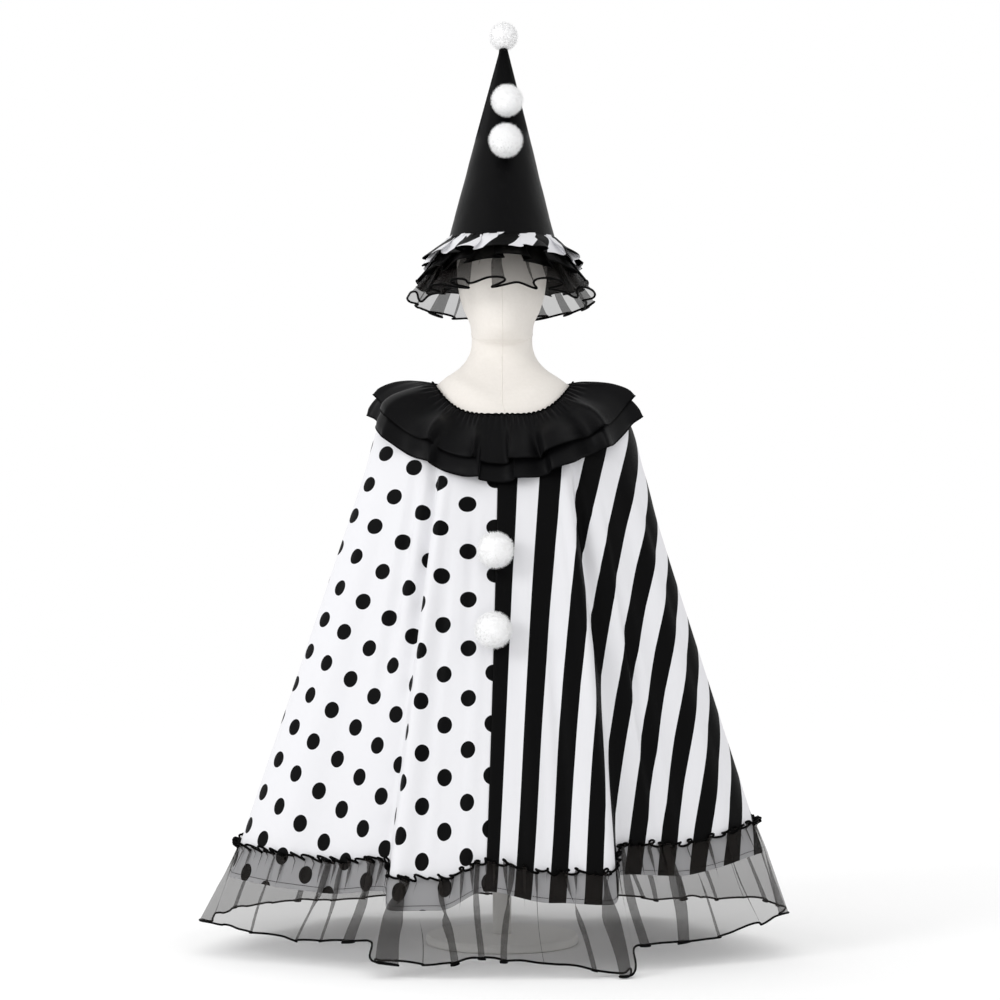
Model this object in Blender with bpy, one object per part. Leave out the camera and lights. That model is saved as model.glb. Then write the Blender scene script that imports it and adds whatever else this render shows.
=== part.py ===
"""A cape in two patterns with a neck ruff and a pointed hat, on a limbless dress form.

Metres, +Z up, the front towards -Y. The origin is the centre of the stand's underside, on the floor.
Azimuths are degrees round the vertical axis from the front, positive towards +X, the striped half.
"""

import math

import bmesh
import bpy
import numpy as np
from mathutils import Vector


def table(columns, *rows):
    """A table as one array for each named column."""
    return {name: np.array(values) for name, values in zip(columns.split(), zip(*rows))}


# Walls, and the gap that pieces keep at their seams
CLOTH_WALL = 0.002
SHEER_WALL = 0.0012
GAP = 0.0003

# The cape's rings, from the neckline to the cloth's edge. down is the share of the cape's length,
# then come the ring's reach from the axis and its height at the front, the sides and the back.
CAPE_RINGS = table(
    "down left right front back z_front z_side z_back",
    (0.00, 0.121, 0.124, 0.110, 0.078, 0.898, 0.967, 0.990),
    (0.05, 0.163, 0.167, 0.127, 0.104, 0.858, 0.949, 0.960),
    (0.10, 0.203, 0.209, 0.142, 0.128, 0.820, 0.924, 0.922),
    (0.15, 0.223, 0.232, 0.155, 0.145, 0.778, 0.884, 0.878),
    (0.24, 0.246, 0.252, 0.171, 0.162, 0.708, 0.812, 0.806),
    (1.00, 0.470, 0.452, 0.325, 0.335, 0.120, 0.130, 0.120),
)

# The cape's folds and seams, each a drape line. top and hem are its azimuths at the neckline and at
# the hem, out is how far the hem stands off the plain ring there, lift is how far the cloth's edge is
# off the ring's height, and flounce is the height of the organza's lower edge.
FOLDS = table(
    "top hem out lift flounce",
    (-180.0, -180.0, -0.006, 0.000, 0.038),  # centre back seam
    (-158.0, -160.0, -0.066, 0.022, 0.052),
    (-133.0, -136.0, 0.016, -0.004, 0.034),
    (-112.0, -114.0, -0.052, 0.018, 0.050),
    (-92.0, -92.0, -0.035, 0.004, 0.054),  # side seam of the dotted half
    (-78.0, -76.0, 0.008, -0.006, 0.055),  # front edge of the wing on the dotted side
    (-56.0, -53.0, -0.045, -0.017, 0.040),
    (-42.0, -37.0, -0.046, -0.006, 0.046),  # deep fold beside the front lobe
    (-32.0, -28.0, 0.019, -0.026, 0.028),
    (-20.0, -17.0, 0.006, -0.024, 0.022),
    (-2.5, -4.6, 0.000, 0.006, 0.034),  # centre front seam
    (20.0, 14.0, 0.006, -0.012, 0.022),
    (36.0, 28.0, 0.019, -0.017, 0.008),
    (47.0, 37.0, -0.040, 0.020, 0.040),  # deep fold beside the front lobe
    (60.0, 54.0, -0.026, 0.012, 0.043),
    (74.0, 72.0, 0.014, 0.036, 0.072),  # front edge of the wing on the striped side
    (92.0, 92.0, -0.035, 0.036, 0.072),  # side seam of the striped half
    (113.0, 115.0, -0.056, 0.034, 0.058),
    (134.0, 137.0, 0.018, 0.010, 0.036),
    (158.0, 161.0, -0.068, 0.024, 0.052),
    (180.0, 180.0, -0.006, 0.000, 0.038),
)
FOLD_START = 0.08  # the folds open from this share of the length down to the hem

# Seam lines by their azimuth at the hem
CENTRE_FRONT = -4.6
DOTTED_SIDE = -92.0
STRIPED_SIDE = 92.0
CENTRE_BACK = 180.0

PANEL_LINES = 35  # drape lines in a quarter, 5 for each wave of the flounce
PANEL_WAVES = 7
CAPE_DOWNS = (0.0, 0.05, 0.10, 0.15, 0.24, 0.56, 0.95, 1.0)

# Hem flounce, gathered 45 mm above the cloth's edge with a heading that stands over the seam
GATHER_DOWN = 0.950
HEADING_DOWN = 0.938
HEADING_LIFT = 0.004
HEADING_WAVE = 0.002
FLOUNCE_FLARE = 0.022  # how far the lower edge reaches past the cloth's
FLOUNCE_STAND = 0.014  # how far the waves stand off the cloth at the lower edge
FLOUNCE_WAVE = 0.011
FLOUNCE_UNEVEN = 0.25  # how much the waves differ in size round a quarter
EDGE_SHARE = 0.34  # of the lower edge's stand, where the cloth ends

# Neck ruff: how far down the cape the lower layer reaches at each azimuth, the same on both sides
RUFF_WAVES = 15
RUFF_LINES = RUFF_WAVES * 6
RUFF_ROWS = (0.0, 0.34, 0.67, 1.0)
RUFF_DOWN = table("azimuth down", (0, 0.140), (52, 0.160), (92, 0.124), (180, 0.125))
RUFF_SWAY = 0.7  # how far the waves are off an even spacing
RUFF_CLEAR = 0.004
RUFF_STAND = 0.014
RUFF_WAVE = 0.012
UPPER_SHARE = 0.74  # of the lower layer's depth
UPPER_STAND = 0.008
UPPER_WAVE = 0.006
UPPER_SHIFT = 0.5  # of the upper layer's waves, in radians of a wave

# Hat: an oval cone, and three frills that hang from its edge
HAT_Z = 1.220
HAT_TIP_Z = 1.579
HAT_MIDDLE_RISE = 0.18  # of the ring between the edge and the tip
HAT_SIDE = 0.094
HAT_DEPTH = 0.1035
HAT_TIP_RADIUS = 0.0073
HAT_WALL = 0.0018
HAT_LEAN = 0.003  # how far the tip stands to the striped side
FRILL_WAVES = 16
FRILL_LINES = FRILL_WAVES * 5
FRILL_SWAY = 0.4
FRILL_ROWS = (0.0, 0.5, 1.0)
FRILL_TOP_Z = HAT_Z + 0.003
# Each frill: how far it drops and flares, the depth of its waves, and the bend of its fall
FRILLS = {
    "hat_brim_frill": {"drop": 0.105, "flare": 0.058, "wave": 0.009, "bend": 1.25},
    "hat_short_frill": {"drop": 0.068, "flare": 0.048, "wave": 0.006, "bend": 1.10},
    "hat_print_frill": {"drop": 0.046, "flare": 0.036, "wave": 0.005, "bend": 0.90},
}

# Dress form, from under the cape's yoke down to its base and up to its crown
FORM_LINES = 40
FORM_SEAT = 0.0008  # between the shoulders and the cape, whose flat facets cut in a little
FORM_YOKE_DOWNS = (0.10, 0.05, 0.0)
FORM_RINGS = table(
    "side front back z_front z_side z_back",
    (0.150, 0.108, 0.118, 0.390, 0.390, 0.390),
    (0.165, 0.116, 0.126, 0.410, 0.410, 0.410),
    (0.160, 0.112, 0.118, 0.480, 0.480, 0.480),
    (0.128, 0.096, 0.092, 0.600, 0.600, 0.600),
    (0.152, 0.118, 0.108, 0.720, 0.730, 0.735),
    (0.182, 0.126, 0.118, 0.772, 0.845, 0.850),
)
NECK_RINGS = table(
    "side front back z_front z_side z_back",
    (0.1000, 0.088, 0.070, 0.926, 0.980, 0.999),
    (0.0770, 0.066, 0.062, 0.956, 0.996, 1.008),
    (0.0630, 0.052, 0.056, 0.984, 1.012, 1.020),
    (0.0560, 0.045, 0.053, 1.010, 1.028, 1.032),
    (0.0540, 0.052, 0.053, 1.031, 1.038, 1.044),
    (0.0530, 0.076, 0.056, 1.040, 1.050, 1.058),
    (0.0560, 0.087, 0.068, 1.060, 1.074, 1.078),
    (0.0690, 0.093, 0.086, 1.100, 1.106, 1.106),
    (0.0770, 0.096, 0.095, 1.138, 1.138, 1.138),
    (0.0800, 0.098, 0.099, 1.175, 1.175, 1.175),
    (0.0790, 0.0985, 0.0990, 1.205, 1.205, 1.205),
    (0.0740, 0.0982, 0.0982, 1.232, 1.232, 1.232),
    (0.0600, 0.0780, 0.0780, 1.256, 1.256, 1.256),
    (0.0360, 0.0460, 0.0460, 1.274, 1.274, 1.274),
)
CROWN_Z = 1.281

# Stand
BASE_RADIUS = 0.130
BASE_HEIGHT = 0.016
POLE_RADIUS = 0.016

# Pompoms: place on the cape or the hat, and radius over the fur
CORE_SHARE = 0.82  # of the radius, the backing that the locks grow from
CAPE_POMPOMS = table("down radius", (0.310, 0.0300), (0.481, 0.0300))
HAT_POMPOMS = table("azimuth height radius", (6.5, 1.457, 0.0280), (3.5, 1.378, 0.0295))
TIP_POMPOM_RADIUS = 0.0255


def ease(x, xs, ys):
    """Values between the rows of a table, level at each row, so that every row is a crest or a valley."""
    place = np.clip(np.searchsorted(xs, x, side="right") - 1, 0, len(xs) - 2)
    share = (x - xs[place]) / (xs[place + 1] - xs[place])
    share = np.clip(share, 0.0, 1.0)
    return ys[place] + (ys[place + 1] - ys[place]) * share * share * (3 - 2 * share)


def ring_points(azimuth, left, right, front, back, z_front, z_side, z_back, out=0.0):
    """Points of an oval ring with its own reach and height on each side, moved out from the axis."""
    across, ahead = np.sin(azimuth), np.cos(azimuth)
    side = np.where(across > 0, right, left)
    depth = np.where(ahead > 0, front, back)
    reach = 1 / np.hypot(across / side, ahead / depth) + out
    z = np.where(ahead > 0, z_front, z_back) * ahead**2 + z_side * across**2
    return np.stack([reach * across, -reach * ahead, z], axis=-1)


def cape_surface(lines, downs):
    """The cape's outer face as a grid, a row for each ring and a column for each drape line."""
    line, down = np.meshgrid(lines, downs)
    lean = np.interp(line, FOLDS["hem"], FOLDS["top"] - FOLDS["hem"])
    azimuth = np.radians(line + lean * (1 - down))
    opened = np.clip((down - FOLD_START) / (1 - FOLD_START), 0, 1)
    names = ("left", "right", "front", "back", "z_front", "z_side", "z_back")
    ring = [np.interp(down, CAPE_RINGS["down"], CAPE_RINGS[name]) for name in names]
    out = ease(line, FOLDS["hem"], FOLDS["out"]) * opened
    points = ring_points(azimuth, *ring, out=out)
    points[..., 2] += ease(line, FOLDS["hem"], FOLDS["lift"]) * opened
    return points


def normals(points):
    """Outward normals of a grid whose rows are closed rings that run down."""
    along = np.roll(points, -1, axis=1) - np.roll(points, 1, axis=1)
    down = np.gradient(points, axis=0)
    out = np.cross(down, along)
    return out / np.linalg.norm(out, axis=-1, keepdims=True)


def hem_lines(start, end, count):
    """Drape lines from one seam to the next, evenly spaced along the folded hem."""
    fine = np.linspace(start, end, 721)
    wrapped = (fine + 180) % 360 - 180
    hem = cape_surface(wrapped, [1.0])[0]
    length = np.concatenate([[0], np.cumsum(np.linalg.norm(np.diff(hem, axis=0), axis=1))])
    even = np.interp(np.linspace(0, length[-1], count + 1), length, fine)
    return even[:-1]


def all_lines():
    """The cape's drape lines in order from the centre front seam, a quarter at a time."""
    seams = (CENTRE_FRONT, STRIPED_SIDE, CENTRE_BACK, DOTTED_SIDE + 360, CENTRE_FRONT + 360)
    quarters = [hem_lines(a, b, PANEL_LINES) for a, b in zip(seams, seams[1:])]
    return (np.concatenate(quarters) + 180) % 360 - 180


def quads(first, second, third, fourth):
    """A four-sided face as two triangles, split the same way on every piece."""
    return [(first, second, third), (first, third, fourth)]


def new_object(name, points, faces, material):
    mesh = bpy.data.meshes.new(name)
    mesh.from_pydata([tuple(map(float, point)) for point in points], [], faces)
    mesh.materials.append(material)
    build = bmesh.new()
    build.from_mesh(mesh)
    bmesh.ops.recalc_face_normals(build, faces=build.faces[:])
    build.to_mesh(mesh)
    build.free()
    mesh.shade_smooth()
    piece = bpy.data.objects.new(name, mesh)
    bpy.context.scene.collection.objects.link(piece)
    return piece


def wall(name, outer, inner, closed, material):
    """Cloth with a real thickness: two faces of the same grid, joined round their edges."""
    rows, columns = outer.shape[:2]
    last = columns if closed else columns - 1

    def at(face, row, column):
        return (face * rows + row) * columns + column % columns

    faces = []
    for column in range(last):
        beside = column + 1
        for row in range(rows - 1):
            for face in (0, 1):
                faces += quads(at(face, row, column), at(face, row + 1, column),
                               at(face, row + 1, beside), at(face, row, beside))
        for row in (0, rows - 1):
            faces += quads(at(0, row, column), at(0, row, beside), at(1, row, beside), at(1, row, column))
    for column in () if closed else (0, columns - 1):
        for row in range(rows - 1):
            faces += quads(at(0, row, column), at(0, row + 1, column), at(1, row + 1, column), at(1, row, column))
    points = np.concatenate([outer.reshape(-1, 3), inner.reshape(-1, 3)])
    return new_object(name, points, faces, material)


def seam_cut(grid, start, stop):
    """The stretch of a closed grid between two seams, its end lines drawn in by half the seam's gap."""
    columns = np.arange(start, stop + 1) % grid.shape[1]
    part = grid[:, columns].copy()
    for end, beside in ((0, 1), (-1, -2)):
        along = part[:, beside] - part[:, end]
        part[:, end] += along / np.linalg.norm(along, axis=-1, keepdims=True) * (GAP / 2)
    return part


def strip(name, outer, inner, start, stop, material):
    return wall(name, seam_cut(outer, start, stop), seam_cut(inner, start, stop), False, material)


def material(name, colour, roughness, metallic=0.0, alpha=1.0):
    made = bpy.data.materials.new(name)
    made.use_nodes = True
    shader = made.node_tree.nodes["Principled BSDF"]
    shader.inputs["Base Color"].default_value = (*colour, 1.0)
    shader.inputs["Roughness"].default_value = roughness
    shader.inputs["Metallic"].default_value = metallic
    shader.inputs["Alpha"].default_value = alpha
    return made


def make_cape(lines):
    """Four quarters of a half-circle cape that flares from the neckline into deep folds."""
    outer = cape_surface(lines, CAPE_DOWNS)
    inner = outer - CLOTH_WALL * normals(outer)
    dots = material("dotted_satin", (0.80, 0.80, 0.80), 0.45)
    stripes = material("striped_satin", (0.35, 0.35, 0.36), 0.45)
    for place, (name, cloth) in enumerate((
        ("cape_front_stripes", stripes),
        ("cape_back_stripes", stripes),
        ("cape_back_dots", dots),
        ("cape_front_dots", dots),
    )):
        start = place * PANEL_LINES
        strip(name, outer, inner, start, start + PANEL_LINES, cloth)


def radial(points):
    """Level directions out from the axis."""
    flat = points * (1, 1, 0)
    return flat / np.linalg.norm(flat, axis=-1, keepdims=True)


def make_hem_flounce(lines):
    """Organza gathered onto the cape, its heading over the seam and its waves past the cloth's edge."""
    count = len(lines)
    phase = 2 * math.pi * PANEL_WAVES * np.arange(count) / PANEL_LINES
    wave = np.cos(phase) * (1 + FLOUNCE_UNEVEN * np.sin(3 * phase / PANEL_WAVES))
    wave = wave / np.abs(wave).max()
    cloth = cape_surface(lines, (HEADING_DOWN, GATHER_DOWN, 1.0))
    outward = radial(cloth)
    edge = cloth[-1] + outward[-1] * FLOUNCE_FLARE
    edge[:, 2] = ease(lines, FOLDS["hem"], FOLDS["flounce"])
    stand = {
        "heading": HEADING_LIFT + HEADING_WAVE * wave,
        "gather": GAP * 2 + 0 * wave,
        "edge": EDGE_SHARE * (FLOUNCE_STAND + FLOUNCE_WAVE * wave) + GAP,
        "hem": FLOUNCE_STAND + FLOUNCE_WAVE * wave,
    }
    rows = [cloth[0], cloth[1], cloth[2], edge]
    inner = np.stack([row + outward[min(place, 2)] * off[:, None]
                      for place, (row, off) in enumerate(zip(rows, stand.values()))])
    outer = inner + SHEER_WALL * normals(inner)
    organza = material("black_organza", (0.02, 0.02, 0.02), 0.5, alpha=0.55)
    half = 2 * PANEL_LINES
    strip("hem_flounce_front", outer, inner, 3 * PANEL_LINES, 5 * PANEL_LINES, organza)
    strip("hem_flounce_back", outer, inner, PANEL_LINES, PANEL_LINES + half, organza)


def ruff_grid(share, azimuths):
    """Points and normals of the cape's yoke under a ruff layer that covers this share of its depth."""
    depth = ease(np.abs(azimuths), RUFF_DOWN["azimuth"], RUFF_DOWN["down"]) * share
    rows = [cape_surface(azimuths, depth * row)[np.arange(len(azimuths)), np.arange(len(azimuths))]
            for row in RUFF_ROWS]
    points = np.stack(rows)
    return points, normals(points)


def make_ruff():
    """Two gathered layers that lie on the yoke and stand off it in round waves."""
    azimuths = np.linspace(-180, 180, RUFF_LINES, endpoint=False)
    turn = np.radians(azimuths)
    phase = RUFF_WAVES * turn + RUFF_SWAY * np.sin(3 * turn)
    row = np.array(RUFF_ROWS)[:, None]
    chiffon = material("black_chiffon", (0.015, 0.015, 0.017), 0.55)

    def lower_stand(depth):
        return 2 * GAP + RUFF_CLEAR * np.sqrt(depth) + depth * (RUFF_STAND + RUFF_WAVE * np.sin(phase))

    points, out = ruff_grid(1.0, azimuths)
    inner = points + out * lower_stand(row)[..., None]
    wall("ruff_lower", inner + SHEER_WALL * normals(inner), inner, True, chiffon)
    points, out = ruff_grid(UPPER_SHARE, azimuths)
    upper_wave = np.sin(phase + UPPER_SHIFT)
    stand = lower_stand(row * UPPER_SHARE) + 2 * SHEER_WALL + row * (UPPER_STAND + UPPER_WAVE * upper_wave)
    inner = points + out * stand[..., None]
    wall("ruff_upper", inner + SHEER_WALL * normals(inner), inner, True, chiffon)


def hat_ring(azimuth, z):
    """The cone's oval ring at a height."""
    share = (z - HAT_Z) / (HAT_TIP_Z - HAT_Z)
    side = HAT_SIDE + (HAT_TIP_RADIUS - HAT_SIDE) * share
    depth = HAT_DEPTH + (HAT_TIP_RADIUS - HAT_DEPTH) * share
    ring = ring_points(azimuth, side, side, depth, depth, z, z, z)
    ring[:, 0] += HAT_LEAN * share
    return ring


def capped(name, rings, material, bottom=True):
    """Rings joined into a closed body or, without a bottom, into a thimble."""
    rows, columns = len(rings), len(rings[0])
    faces = []
    for row in range(rows - 1):
        for column in range(columns):
            beside = (column + 1) % columns
            faces += quads(row * columns + column, row * columns + beside,
                           (row + 1) * columns + beside, (row + 1) * columns + column)
    points = [point for ring in rings for point in ring]
    for row in (0, rows - 1) if bottom else (rows - 1,):
        points.append(np.mean(rings[row], axis=0))
        for column in range(columns):
            faces.append((row * columns + column, row * columns + (column + 1) % columns, len(points) - 1))
    return new_object(name, points, faces, material)


def make_hat():
    azimuth = np.radians(np.linspace(-180, 180, FORM_LINES, endpoint=False))
    heights = (HAT_Z, HAT_Z + HAT_MIDDLE_RISE, HAT_TIP_Z)
    satin = material("black_hat_satin", (0.01, 0.01, 0.012), 0.35)
    cone = capped("hat_cone", [hat_ring(azimuth, z) for z in heights], satin, bottom=False)
    shell = cone.modifiers.new("wall", "SOLIDIFY")
    shell.thickness = HAT_WALL
    shell.offset = -1
    print_cloth = material("print_satin", (0.45, 0.45, 0.46), 0.45)
    organza = material("black_organza_frill", (0.02, 0.02, 0.02), 0.5, alpha=0.6)
    azimuth = np.radians(np.linspace(-180, 180, FRILL_LINES, endpoint=False))
    wave = np.sin(FRILL_WAVES * azimuth + FRILL_SWAY * np.sin(2 * azimuth))
    # The seam runs a little above the cone's edge, where the cone is narrower
    narrowing = (HAT_SIDE - HAT_TIP_RADIUS) * (FRILL_TOP_Z - HAT_Z) / (HAT_TIP_Z - HAT_Z)
    for layer, (name, frill) in enumerate(FRILLS.items()):
        start = GAP - narrowing + layer * (SHEER_WALL + GAP * 2)
        rows = []
        for share in FRILL_ROWS:
            out = start + frill["flare"] * share ** frill["bend"] + frill["wave"] * wave * share
            z = FRILL_TOP_Z - frill["drop"] * share
            ring = ring_points(azimuth, HAT_SIDE, HAT_SIDE, HAT_DEPTH, HAT_DEPTH, z, z, z, out=out)
            rows.append(ring)
        inner = np.stack(rows)
        cloth = print_cloth if name == "hat_print_frill" else organza
        wall(name, inner + SHEER_WALL * normals(inner), inner, True, cloth)


def make_form():
    """Faceless egg head, neck, shoulders and torso in one smooth body, under a clear seat for the cape."""
    lines = np.linspace(-180, 180, FORM_LINES, endpoint=False)
    azimuth = np.radians(lines)
    yoke = cape_surface(lines, FORM_YOKE_DOWNS[::-1])
    yoke = yoke - normals(yoke) * (CLOTH_WALL + FORM_SEAT)
    names = ("side", "side", "front", "back", "z_front", "z_side", "z_back")
    torso = [ring_points(azimuth, *(FORM_RINGS[name][row] for name in names))
             for row in range(len(FORM_RINGS["side"]))]
    neck = [ring_points(azimuth, *(NECK_RINGS[name][row] for name in names))
            for row in range(len(NECK_RINGS["side"]))]
    rings = torso + list(yoke[::-1]) + neck
    linen = material("form_linen", (0.83, 0.80, 0.75), 0.85)
    body = capped("form_body", rings, linen)
    crown = body.data.vertices[len(body.data.vertices) - 1]
    crown.co.z = CROWN_Z


def make_stand():
    paint = material("stand_paint", (0.75, 0.74, 0.71), 0.4, metallic=0.0)
    for name, radius, low, high, sides in (
        ("stand_base", BASE_RADIUS, 0.0, BASE_HEIGHT, 36),
        ("stand_pole", POLE_RADIUS, BASE_HEIGHT + GAP, FORM_RINGS["z_side"][0] - GAP, 20),
    ):
        bpy.ops.mesh.primitive_cylinder_add(
            vertices=sides, radius=radius, depth=high - low, location=(0, 0, (low + high) / 2))
        piece = bpy.context.object
        piece.name = piece.data.name = name
        piece.data.materials.append(paint)
        if name == "stand_base":
            edge = piece.modifiers.new("edge", "BEVEL")
            edge.width = 0.004
            edge.segments = 1
            edge.angle_limit = math.radians(60)


def pompom(name, seat, outward, radius, fur):
    """A round backing whose faces are drawn out to tapered locks, but for those towards its seat."""
    outward = Vector(outward).normalized()
    core = radius * CORE_SHARE
    build = bmesh.new()
    bmesh.ops.create_cube(build, size=2)
    bmesh.ops.subdivide_edges(build, edges=build.edges[:], cuts=2, use_grid_fill=True)
    turn = Vector((1, 1, 1)).rotation_difference(-outward)
    for vert in build.verts:
        vert.co = turn @ (vert.co.normalized() * core)
    build.normal_update()
    free = [face for face in build.faces if face.normal.dot(-outward) < 0.5]
    bmesh.ops.poke(build, faces=free, offset=radius - core * 0.97)
    mesh = bpy.data.meshes.new(name)
    build.to_mesh(mesh)
    build.free()
    mesh.materials.append(fur)
    piece = bpy.data.objects.new(name, mesh)
    piece.location = Vector(seat) + outward * (core + GAP)
    bpy.context.scene.collection.objects.link(piece)


def make_pompoms():
    fur = material("white_fur", (0.85, 0.85, 0.85), 0.9)
    lines = all_lines()
    for name, down, radius in zip(("cape_pompom_upper", "cape_pompom_lower"), *CAPE_POMPOMS.values()):
        # The seam's own line, and a ring on each side of it to read the slope
        surface = cape_surface(lines, (down - 0.01, down, down + 0.01))
        pompom(name, surface[1, 0], normals(surface)[1, 0], radius, fur)
    slope = HAT_DEPTH / (HAT_TIP_Z - HAT_Z)
    for name, azimuth, height, radius in zip(("hat_pompom_upper", "hat_pompom_lower"), *HAT_POMPOMS.values()):
        turn = np.radians(azimuth)
        seat = hat_ring(np.array([turn]), height)[0]
        pompom(name, seat, (math.sin(turn), -math.cos(turn), slope), radius, fur)
    pompom("hat_pompom_tip", (HAT_LEAN, 0, HAT_TIP_Z), (0, 0, 1), TIP_POMPOM_RADIUS, fur)


def main():
    for leftover in list(bpy.data.objects):
        bpy.data.objects.remove(leftover)
    lines = all_lines()
    make_form()
    make_stand()
    make_cape(lines)
    make_hem_flounce(lines)
    make_ruff()
    make_hat()
    make_pompoms()


main()
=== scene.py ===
# %% [markdown]
# # A cape with a pointed hat, on its dress form
#
# The costume is a wide cape in two printed satins, a black neck ruff, a sheer hem flounce, fur pompoms and
# a tall cone hat with three frills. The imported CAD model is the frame: it fixes every size, and each cloth
# here is drawn again over its solid with finer folds and a real finish.

import math

import bmesh
import bpy
import numpy as np
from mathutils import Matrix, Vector, noise


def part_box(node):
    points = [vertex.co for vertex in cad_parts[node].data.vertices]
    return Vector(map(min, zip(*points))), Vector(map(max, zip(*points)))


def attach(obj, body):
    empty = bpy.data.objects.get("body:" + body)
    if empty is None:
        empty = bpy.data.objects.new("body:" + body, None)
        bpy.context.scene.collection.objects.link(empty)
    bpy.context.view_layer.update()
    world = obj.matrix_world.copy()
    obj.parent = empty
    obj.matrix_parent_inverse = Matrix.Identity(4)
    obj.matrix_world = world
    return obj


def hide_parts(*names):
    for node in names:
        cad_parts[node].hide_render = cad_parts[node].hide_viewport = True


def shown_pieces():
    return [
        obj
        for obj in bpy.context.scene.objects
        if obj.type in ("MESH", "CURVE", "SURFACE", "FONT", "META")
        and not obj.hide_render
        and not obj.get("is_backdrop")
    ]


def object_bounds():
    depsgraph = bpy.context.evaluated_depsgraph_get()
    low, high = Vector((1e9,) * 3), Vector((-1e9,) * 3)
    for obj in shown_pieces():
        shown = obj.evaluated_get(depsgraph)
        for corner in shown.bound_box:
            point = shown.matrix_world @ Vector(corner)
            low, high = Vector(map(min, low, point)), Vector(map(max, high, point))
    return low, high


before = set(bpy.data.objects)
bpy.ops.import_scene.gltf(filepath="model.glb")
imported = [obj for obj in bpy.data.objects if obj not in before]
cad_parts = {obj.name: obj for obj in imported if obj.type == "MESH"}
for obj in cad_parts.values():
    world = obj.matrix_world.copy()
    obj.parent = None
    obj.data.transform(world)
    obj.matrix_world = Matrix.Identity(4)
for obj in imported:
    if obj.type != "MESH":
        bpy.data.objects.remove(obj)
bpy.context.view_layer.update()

# %% [markdown]
# ## Camera, floor and light
#
# The photograph looks at the costume from a little under half its height, tilted up a few degrees, from
# three metres away. Product photographers light white cloth from all round, as in a tent, so the air here
# is white too and one soft lamp on the left gives the folds their shade. A small lamp under the skirt
# lifts the floor that shows through the sheer hem. The floor is white paper.

# %% Camera
CAMERA_AT = (-0.0035, -3.15, 0.47)
CAMERA_TILT = 5.33  # degrees above level
LENS = 64.8
SENSOR = 36.0

lens = bpy.data.cameras.new("photo_camera")
lens.lens, lens.sensor_width = LENS, SENSOR
camera = bpy.data.objects.new("photo_camera", lens)
camera.location = CAMERA_AT
camera.rotation_euler = (math.radians(90 + CAMERA_TILT), 0, 0)
bpy.context.scene.collection.objects.link(camera)
bpy.context.scene.camera = camera
print("camera at", CAMERA_AT, "lens", LENS)

# %% Colours and node helpers
def linear(code):
    """An sRGB hex colour as the linear values that shaders take."""
    parts = [int(code[at:at + 2], 16) / 255 for at in (1, 3, 5)]
    return (*[p / 12.92 if p <= 0.04045 else ((p + 0.055) / 1.055) ** 2.4 for p in parts], 1.0)


def add(material, kind, inputs=(), **settings):
    """Adds a node, makes its settings, and links or sets its inputs."""
    node = material.node_tree.nodes.new(kind)
    for name, value in settings.items():
        setattr(node, name, value)
    for socket, value in dict(inputs).items():
        if isinstance(value, bpy.types.NodeSocket):
            material.node_tree.links.new(value, node.inputs[socket])
        else:
            node.inputs[socket].default_value = value
    return node


def new_material(name, colour, roughness, **sockets):
    """A Principled material and its shader, with constants set on the shader's own sockets."""
    material = bpy.data.materials.new(name)
    material.use_nodes = True
    shader = material.node_tree.nodes["Principled BSDF"]
    shader.inputs["Base Color"].default_value = linear(colour)
    shader.inputs["Roughness"].default_value = roughness
    for socket, value in sockets.items():
        shader.inputs[socket.replace("_", " ")].default_value = value
    return material, shader


def mottled(material, vector, scale, detail, low, high):
    """A colour that wanders between two others, as dyed and printed cloth does."""
    cloud = add(material, "ShaderNodeTexNoise", {"Vector": vector, "Scale": scale, "Detail": detail})
    mix = add(material, "ShaderNodeMix", {0: cloud.outputs["Fac"], 6: low, 7: high}, data_type="RGBA")
    return mix.outputs[2]


def calculate(material, operation, *values, kind="ShaderNodeMath"):
    """The result of a maths node that takes sockets and constants."""
    outputs = add(material, kind, dict(enumerate(values)), operation=operation).outputs
    return outputs["Value"] if operation == "LENGTH" else outputs[0]


print("middle grey is", [round(v, 3) for v in linear("#777777")[:3]])

# %% Paper floor
FLOOR_RADIUS = 22.0

paper, _ = new_material("studio_paper", "#FFFFFF", 0.9, Specular_IOR_Level=0.0)
bpy.ops.mesh.primitive_circle_add(vertices=96, radius=FLOOR_RADIUS, fill_type="NGON")
floor = bpy.context.object
floor.name = floor.data.name = "paper_floor"
floor.data.materials.append(paper)
floor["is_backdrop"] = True
print("floor faces:", len(floor.data.polygons))

# %% Lamps
# name, place, aimed at, size in metres, power in watts
LAMPS = (
    ("key_lamp", (-3.0, -2.5, 2.0), (0, 0, 0.8), 1.5, 42),
    ("fill_lamp", (2.4, -3.0, 0.8), (0, 0, 0.9), 2.2, 0.8),
    ("hem_lamp", (0, -0.04, 0.37), (0, -0.05, 0), 0.22, 0.3),
)
for name, place, aim, size, power in LAMPS:
    light = bpy.data.lights.new(name, "AREA")
    light.shape, light.size, light.energy = "DISK", size, power
    lamp = bpy.data.objects.new(name, light)
    lamp.location = place
    lamp.rotation_euler = (Vector(aim) - Vector(place)).to_track_quat("-Z", "Y").to_euler()
    bpy.context.scene.collection.objects.link(lamp)
world = bpy.data.worlds.new("studio_air")
world.use_nodes = True
air = world.node_tree.nodes["Background"]
air.inputs["Color"].default_value, air.inputs["Strength"].default_value = linear("#FFFFFF"), 1.0
bpy.context.scene.world = world
bpy.context.scene.view_settings.view_transform = "Standard"
print("lamps:", [lamp[0] for lamp in LAMPS])

# %% [markdown]
# ## The frame's named values
#
# These tables repeat the ones in the part's source, in metres and degrees. The cape hangs on rings that
# run from the neckline to the hem, and every fold is a drape line with its place at the neck and at the
# hem. The curves between the rows are smooth here, where the solids take straight steps.

# %% Tables of the cape
def table(columns, *rows):
    """The columns of a table by name, from its rows."""
    return {name: np.array(values, float) for name, values in zip(columns.split(), zip(*rows))}


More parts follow.
